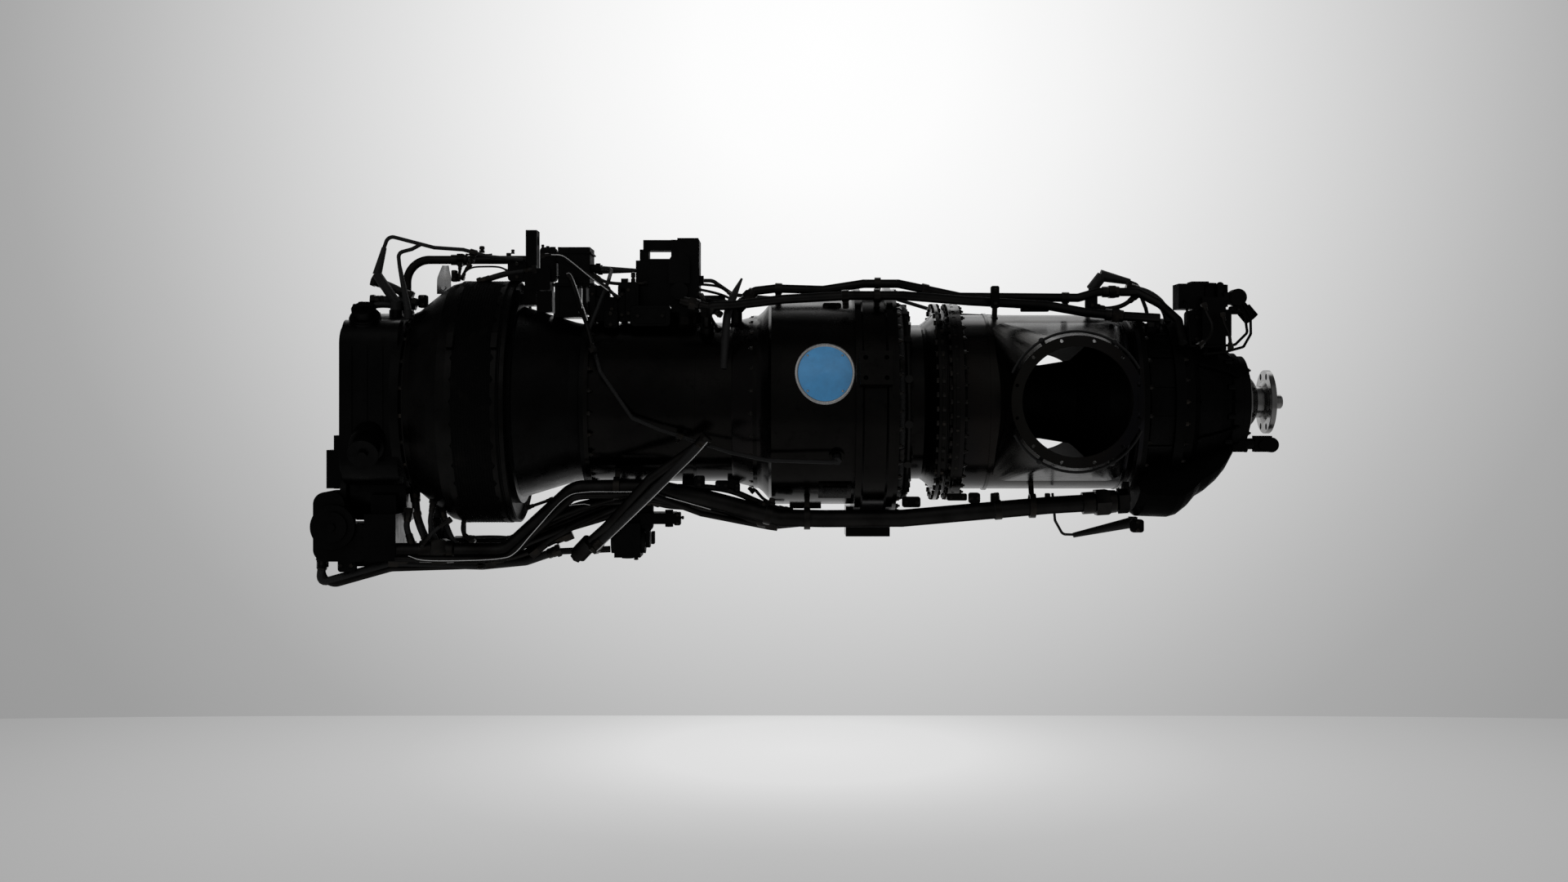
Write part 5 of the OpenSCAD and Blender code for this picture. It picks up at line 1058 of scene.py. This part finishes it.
def make_blocks(metal, bolts):
    """Rounded blocks, each with a raised cover and two bolts on its near face."""
    sketch = Sketch()
    for node, *numbers in rows(BLOCKS):
        middle = beside(node, numbers[:3])[0]
        wide, deep, tall = (size / 1000 for size in numbers[3:])
        side, narrow = Vector((0, deep / 2, 0)), min(wide, tall)
        corner = narrow * BLOCK_CORNER
        sketch.slot = 0
        sketch.slab(middle + side, -Y_AXIS, Z_AXIS, (wide, tall, deep), corner,
                    min(0.001, corner * 0.4), 5)
        sketch.slab(middle - side + Vector((0, 0.0005, 0)), -Y_AXIS, Z_AXIS,
                    (wide * BLOCK_COVER, tall * BLOCK_COVER, 0.0015), corner * 0.7, 0.0004, 5)
        sketch.slot = 1
        long_axis = X_AXIS if wide > tall else Z_AXIS
        reach = max(wide, tall) * 0.3
        head = min(BLOCK_BOLT, narrow * 0.42)
        for s in (-1, 1):
            place = middle - side + long_axis * s * reach - Y_AXIS * 0.0008
            sketch.hexagon(place, -Y_AXIS, head, head * 0.5)
    sketch.build("small_brackets", [metal, bolts], "black_units")


def make_fittings(metal):
    sketch = Sketch()
    for node, foot, way, radius, height in rows(FITTINGS):
        foot, r, h = beside(node, foot)[0], radius / 1000, height / 1000
        sketch.hexagon(foot, way, r * 1.9, h * 0.4)
        sketch.turn(scaled(FITTING_CAP, h, r), foot, way, 20)
    sketch.build("capped_fittings", [metal], "fastener_steel")


NECK_BACK, NECK_RING, NECK_RADIUS = 0.1135, 0.189, 0.009
NECK_POINTS, NECK_JOINTS = 420, 7


def make_neck_hose(metal, braid):
    """Braided sleeve that rings the turbine neck beside the fuel manifold, with collars."""
    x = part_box("exhaust_duct")[0].x - NECK_BACK
    sketch = Sketch()
    sketch.slot = 1
    radii = [NECK_RADIUS * (1 + 0.035 * sin(i * pi / 2)) for i in range(NECK_POINTS)]
    path = [about_axis(x, a, NECK_RING) for a in turn_angles(NECK_POINTS)]
    sketch.sweep(path, radii, 14, True)
    sketch.slot = 0
    for k in range(NECK_JOINTS):
        a = 2 * pi * (k + 0.35) / NECK_JOINTS
        place = about_axis(x, a, NECK_RING)
        way = (about_axis(x, a + 0.01, NECK_RING) - place).normalized()
        sketch.ring(scaled(NECK_COLLAR, 1, NECK_RADIUS), place, way, 24)
        sketch.sweep([place, about_axis(x, a, NECK_RING - 0.022)], 0.004, 10)
    sketch.build("neck_hose", [metal, braid], "harness_rubber")


FLANGE_RINGS = (-0.0115, -0.038)  # from the back of the exhaust duct
FLANGE_RADIUS = 0.198
FLANGE_HALF, FLANGE_CHAMFER = 0.0035, 0.0006
FLANGE_BOLTS, FLANGE_BOLT_ACROSS = 44, 0.0095
FLANGE_BOLT_RADIUS = FLANGE_RADIUS - 0.0055
CONE_START = 0.028
CONE_PROFILE = [(-0.078, 0.1595), (-0.074, 0.1625), (-0.026, 0.1745), (-0.018, 0.181),
                (-0.002, 0.199), (-0.002, 0.195), (-0.02, 0.177), (-0.028, 0.17), (-0.078, 0.156)]


def make_case_rings(steel, metal, bolts):
    """Bolted flange rings round the turbine neck, and the cone behind the gas generator case."""
    sketch = Sketch()
    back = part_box("exhaust_duct")[0].x
    half, rim, chamfer = FLANGE_HALF, FLANGE_RADIUS, FLANGE_CHAMFER
    for k, offset in enumerate(FLANGE_RINGS):
        x = back + offset
        spot, _ = round_spot("gas_generator_case", x, 40)
        inner = (hypot(spot.y, spot.z) if spot is not None else 0.16) - 0.001
        inner = min(inner, rim - 0.012)
        sketch.slot = 1
        sketch.ring([(-half, inner), (-half, rim - chamfer), (chamfer - half, rim),
                     (half - chamfer, rim), (half, rim - chamfer), (half, inner)],
                    (x, 0, 0), X_AXIS, 120)
        sketch.slot = 2
        for i in range(FLANGE_BOLTS):
            angle = 2 * pi * (i + 0.5 * k) / FLANGE_BOLTS
            foot = about_axis(x + 0.0034, angle, FLANGE_BOLT_RADIUS)
            sketch.hexagon(foot, X_AXIS, FLANGE_BOLT_ACROSS, 0.006)
            sketch.hexagon(foot - X_AXIS * 0.0068, -X_AXIS, FLANGE_BOLT_ACROSS, 0.0045)
    sketch.slot = 0
    cone_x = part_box("gas_generator_case")[0].x + CONE_START
    sketch.ring(CONE_PROFILE, (cone_x, 0, 0), X_AXIS, 140)
    sketch.build("case_rings", [steel, metal, bolts], "case_steel", 40)


BRACKET_SPAN = ((-63, -30, 216), (-35, -30, 273))
BRACKET_STEPS = 12
BRACKET_SECTION = [(-1, -1), (-0.4, -1), (0.4, -1), (1, -1), (1, 1), (0.4, 1), (-0.4, 1), (-1, 1)]


def make_bright_bracket(metal):
    """Bent sheet bracket above the rear of the air inlet."""
    low, high = beside("inlet_screen", *BRACKET_SPAN)
    middle, height, wide = (low.x + high.x) / 2, high.z - low.z, high.x - low.x
    sketch = Sketch()
    rings = []
    for k in range(BRACKET_STEPS + 1):
        t = k / BRACKET_STEPS
        half = wide / 2 * (1 - 0.55 * max(0, t - 0.55) / 0.45)
        bow = 0.006 * sin(pi * t)
        centre = Vector((middle + 0.003 * t, low.y - bow, low.z + height * t))
        rings.append([centre + Vector((sx * half, sy * 0.0011 + 0.004 * (1 - abs(sx)), 0))
                      for sx, sy in BRACKET_SECTION])
    sketch.loft(rings)
    bolt = Vector((middle, low.y - 0.004, low.z + height * 0.2))
    sketch.hexagon(bolt, -Y_AXIS, 0.008, 0.005)
    sketch.build("sheet_bracket", [metal], "bright_steel")


# ---- studio

STUDIO_HALF_X, STUDIO_HALF_Y = 5.0, 2.77
STUDIO_FLOOR, STUDIO_TOP = -1.1, 5.0
STUDIO_SIDES, SQUARENESS = 160, 4
COVE, COVE_STEPS = 0.1, 6
FLOOR_RINGS, FLOOR_HOLE = 8, 0.02
FLOOR_SHADED = 0.6
WORLD_LIGHT = 0.6
GLOW_SPOT = (-0.834, STUDIO_HALF_Y, 1.257)
POOL_SPOT = (-0.9, 2.05, STUDIO_FLOOR)
CEILING_SPOT = (GLOW_SPOT[0], STUDIO_HALF_Y, STUDIO_TOP)
# Painted light: brightness at distances in metres from those spots, a painted glow on the wall, a
# painted pool of light on the floor and a dim painted glow on the ceiling.
WALL_PAINTED_GLOW = [(0, 1.0), (0.45, 0.98), (0.9, 0.905), (1.28, 0.815), (1.63, 0.72), (2.07, 0.6),
               (2.5, 0.485), (2.88, 0.4), (3.4, 0.34), (4.2, 0.3), (5.2, 0.17), (6.6, 0.14)]
CEILING_PAINTED_GLOW = [(0, 0.3), (0.7, 0.14), (2.0, 0.07), (6.0, 0.05)]
FLOOR_PAINTED_POOL = [(0, 0.92), (0.5, 0.88), (0.9, 0.74), (1.3, 0.64), (1.8, 0.57), (2.6, 0.48),
                (4.0, 0.36)]
# Lamps: place from the engine's middle, size and power.
LAMPS = {"key": ((-1.6, -4.2, 3.6), (4.6, 3.0), 40), "back_top": ((0.3, 2.1, 2.6), (4.0, 1.6), 22)}


def studio_outline(inset, z):
    """The studio's rounded outline at a height, drawn in from its walls."""
    ring = []
    for a in turn_angles(STUDIO_SIDES):
        c, s = cos(a), sin(a)
        reach = (abs(c) ** SQUARENESS + abs(s) ** SQUARENESS) ** (-1 / SQUARENESS)
        ring.append(Vector((CAMERA_SPOT[0] + c * reach * (STUDIO_HALF_X - inset),
                            s * reach * (STUDIO_HALF_Y - inset), z)))
    return ring


def make_studio():
    """Wall, floor and ceiling; the cove joins the wall to the floor."""
    wall, floor, ceiling = Sketch(), Sketch(), Sketch()
    rings = []
    for k in range(COVE_STEPS + 1):
        a = pi / 2 * k / COVE_STEPS
        rings.append(studio_outline(COVE * (1 - sin(a)),
                                    STUDIO_FLOOR + COVE * (1 - cos(a))))
    rings.append(studio_outline(0, STUDIO_TOP))
    wall.loft(rings, False)
    for sketch, edge, z in ((floor, COVE, STUDIO_FLOOR), (ceiling, 0, STUDIO_TOP)):
        span = STUDIO_HALF_Y - edge - FLOOR_HOLE
        sketch.loft([studio_outline(edge + span * k / FLOOR_RINGS, z)
                     for k in range(FLOOR_RINGS + 1)], False)
        sketch.face(*range(FLOOR_RINGS * STUDIO_SIDES, (FLOOR_RINGS + 1) * STUDIO_SIDES))
    for sketch, name, *shading in ((wall, "studio_wall", GLOW_SPOT, WALL_PAINTED_GLOW),
                                   (floor, "studio_floor", POOL_SPOT, FLOOR_PAINTED_POOL, True),
                                   (ceiling, "studio_ceiling", CEILING_SPOT, CEILING_PAINTED_GLOW)):
        piece = sketch.build(name, [studio_surface(name, *shading)], body=None)
        face_inward(piece)
        if sketch is not floor:
            piece.visible_diffuse = False
            piece.visible_shadow = False


def face_inward(piece):
    """Turns the studio's faces so that they face the middle of the room."""
    middle = Vector((CAMERA_SPOT[0], 0, 0.5))
    shape = bmesh.new()
    shape.from_mesh(piece.data)
    for face in shape.faces:
        if face.normal.dot(middle - face.calc_center_median()) < 0:
            face.normal_flip()
    shape.to_mesh(piece.data)
    shape.free()


def make_lamp(name, place, target, size, power):
    """A rectangular lamp that faces a target and isn't seen itself."""
    data = bpy.data.lights.new(name, "AREA")
    data.shape = "RECTANGLE"
    data.size, data.size_y = size
    data.energy = power
    facing = (target - place).to_track_quat("-Z", "Y").to_euler()
    placed(name, data, place, facing).visible_camera = False


def make_light():
    world = bpy.data.worlds.new("studio_light")
    world.use_nodes = True
    background = world.node_tree.nodes["Background"].inputs
    background["Color"].default_value = (1, 1, 1, 1)
    background["Strength"].default_value = WORLD_LIGHT
    SCENE.world = world
    middle = (CAD_LOW + CAD_HIGH) / 2
    for name, (place, size, power) in LAMPS.items():
        make_lamp(name, middle + Vector(place), middle, size, power)
    SCENE.view_settings.view_transform = "Standard"


# ---- finishes on the imported parts

# Finish of each material slot, and of a few extra surfaces: its maker and what it takes.
# Most levels below are painted shade: far darker than the metals' own colours, for the shade of
# light from behind.
FINISHES = {
    "gearbox_case": (cast_metal, 0.006, 0.97, 0.32, 0.12),
    "bright_steel": (turned_metal, 0.25, 0.01, 0.2),
    "gear_steel": (turned_metal, 0.26, 0.02, 0.26),
    "duct_steel": (tinted_duct,),
    "turbine_alloy": (hot_steel, 0.16, 0.2, 0.34),
    "case_steel": (hot_steel, 0.009, 0.06, 0.19),
    "cast_case": (cast_metal, 0.006, 0.97, 0.32),
    "screen_steel": (tube_metal, 0.010, 0.28, 0.4),
    "black_units": (cast_metal, 0.007, 0.97, 0.36, 0.1, 700, 0.00012),
    "tube_steel": (tube_metal, 0.016, 0.32, 0.2),
    "harness_rubber": (woven_rubber, 0.005),
    "fastener_steel": (fastener_metal, 0.016),
    # Bright turned finish: painted highlights on the thin rods, and the sheet bracket's polish.
    "polished": (turned_metal, 0.72, 0.0, 0.2),
    "sooted_steel": (cast_metal, 0.006, 0.9, 0.6, 0.1),
}
SOOTED_NODES = ("power_turbine_shaft_housing",)
BADGE_BLUE = (0.035, 0.22, 0.46)


def dress_frame():
    """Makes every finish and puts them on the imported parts."""
    made = {slot: make(slot + "_finish", *values) for slot, (make, *values) in FINISHES.items()}
    for part in RECORD["subparts"]:
        finish = "sooted_steel" if part["node"] in SOOTED_NODES else part["material_slot"]
        for place in NODES[part["node"]].material_slots:
            place.material = made[finish]
    return made


make_camera()
make_studio()
make_light()
finish = dress_frame()
fastener, braid = finish["fastener_steel"], finish["harness_rubber"]
make_badge([enamel("badge_enamel", BADGE_BLUE), turned_metal("badge_rim", 0.62, 0.0, 0.3)])
make_screen_cloth(wire_cloth("wire_cloth", 0.007))
make_bolt_detail(fastener)
make_weld_beads(finish["duct_steel"])
make_clamps(fastener, braid)
make_fine_tubes(finish["tube_steel"], fastener)
make_highlight_lines(finish["polished"])
make_hoses(fastener, braid)
make_blocks(finish["black_units"], fastener)
make_fittings(fastener)
make_neck_hose(fastener, braid)
make_case_rings(finish["duct_steel"], finish["case_steel"], fastener)
make_bright_bracket(finish["polished"])
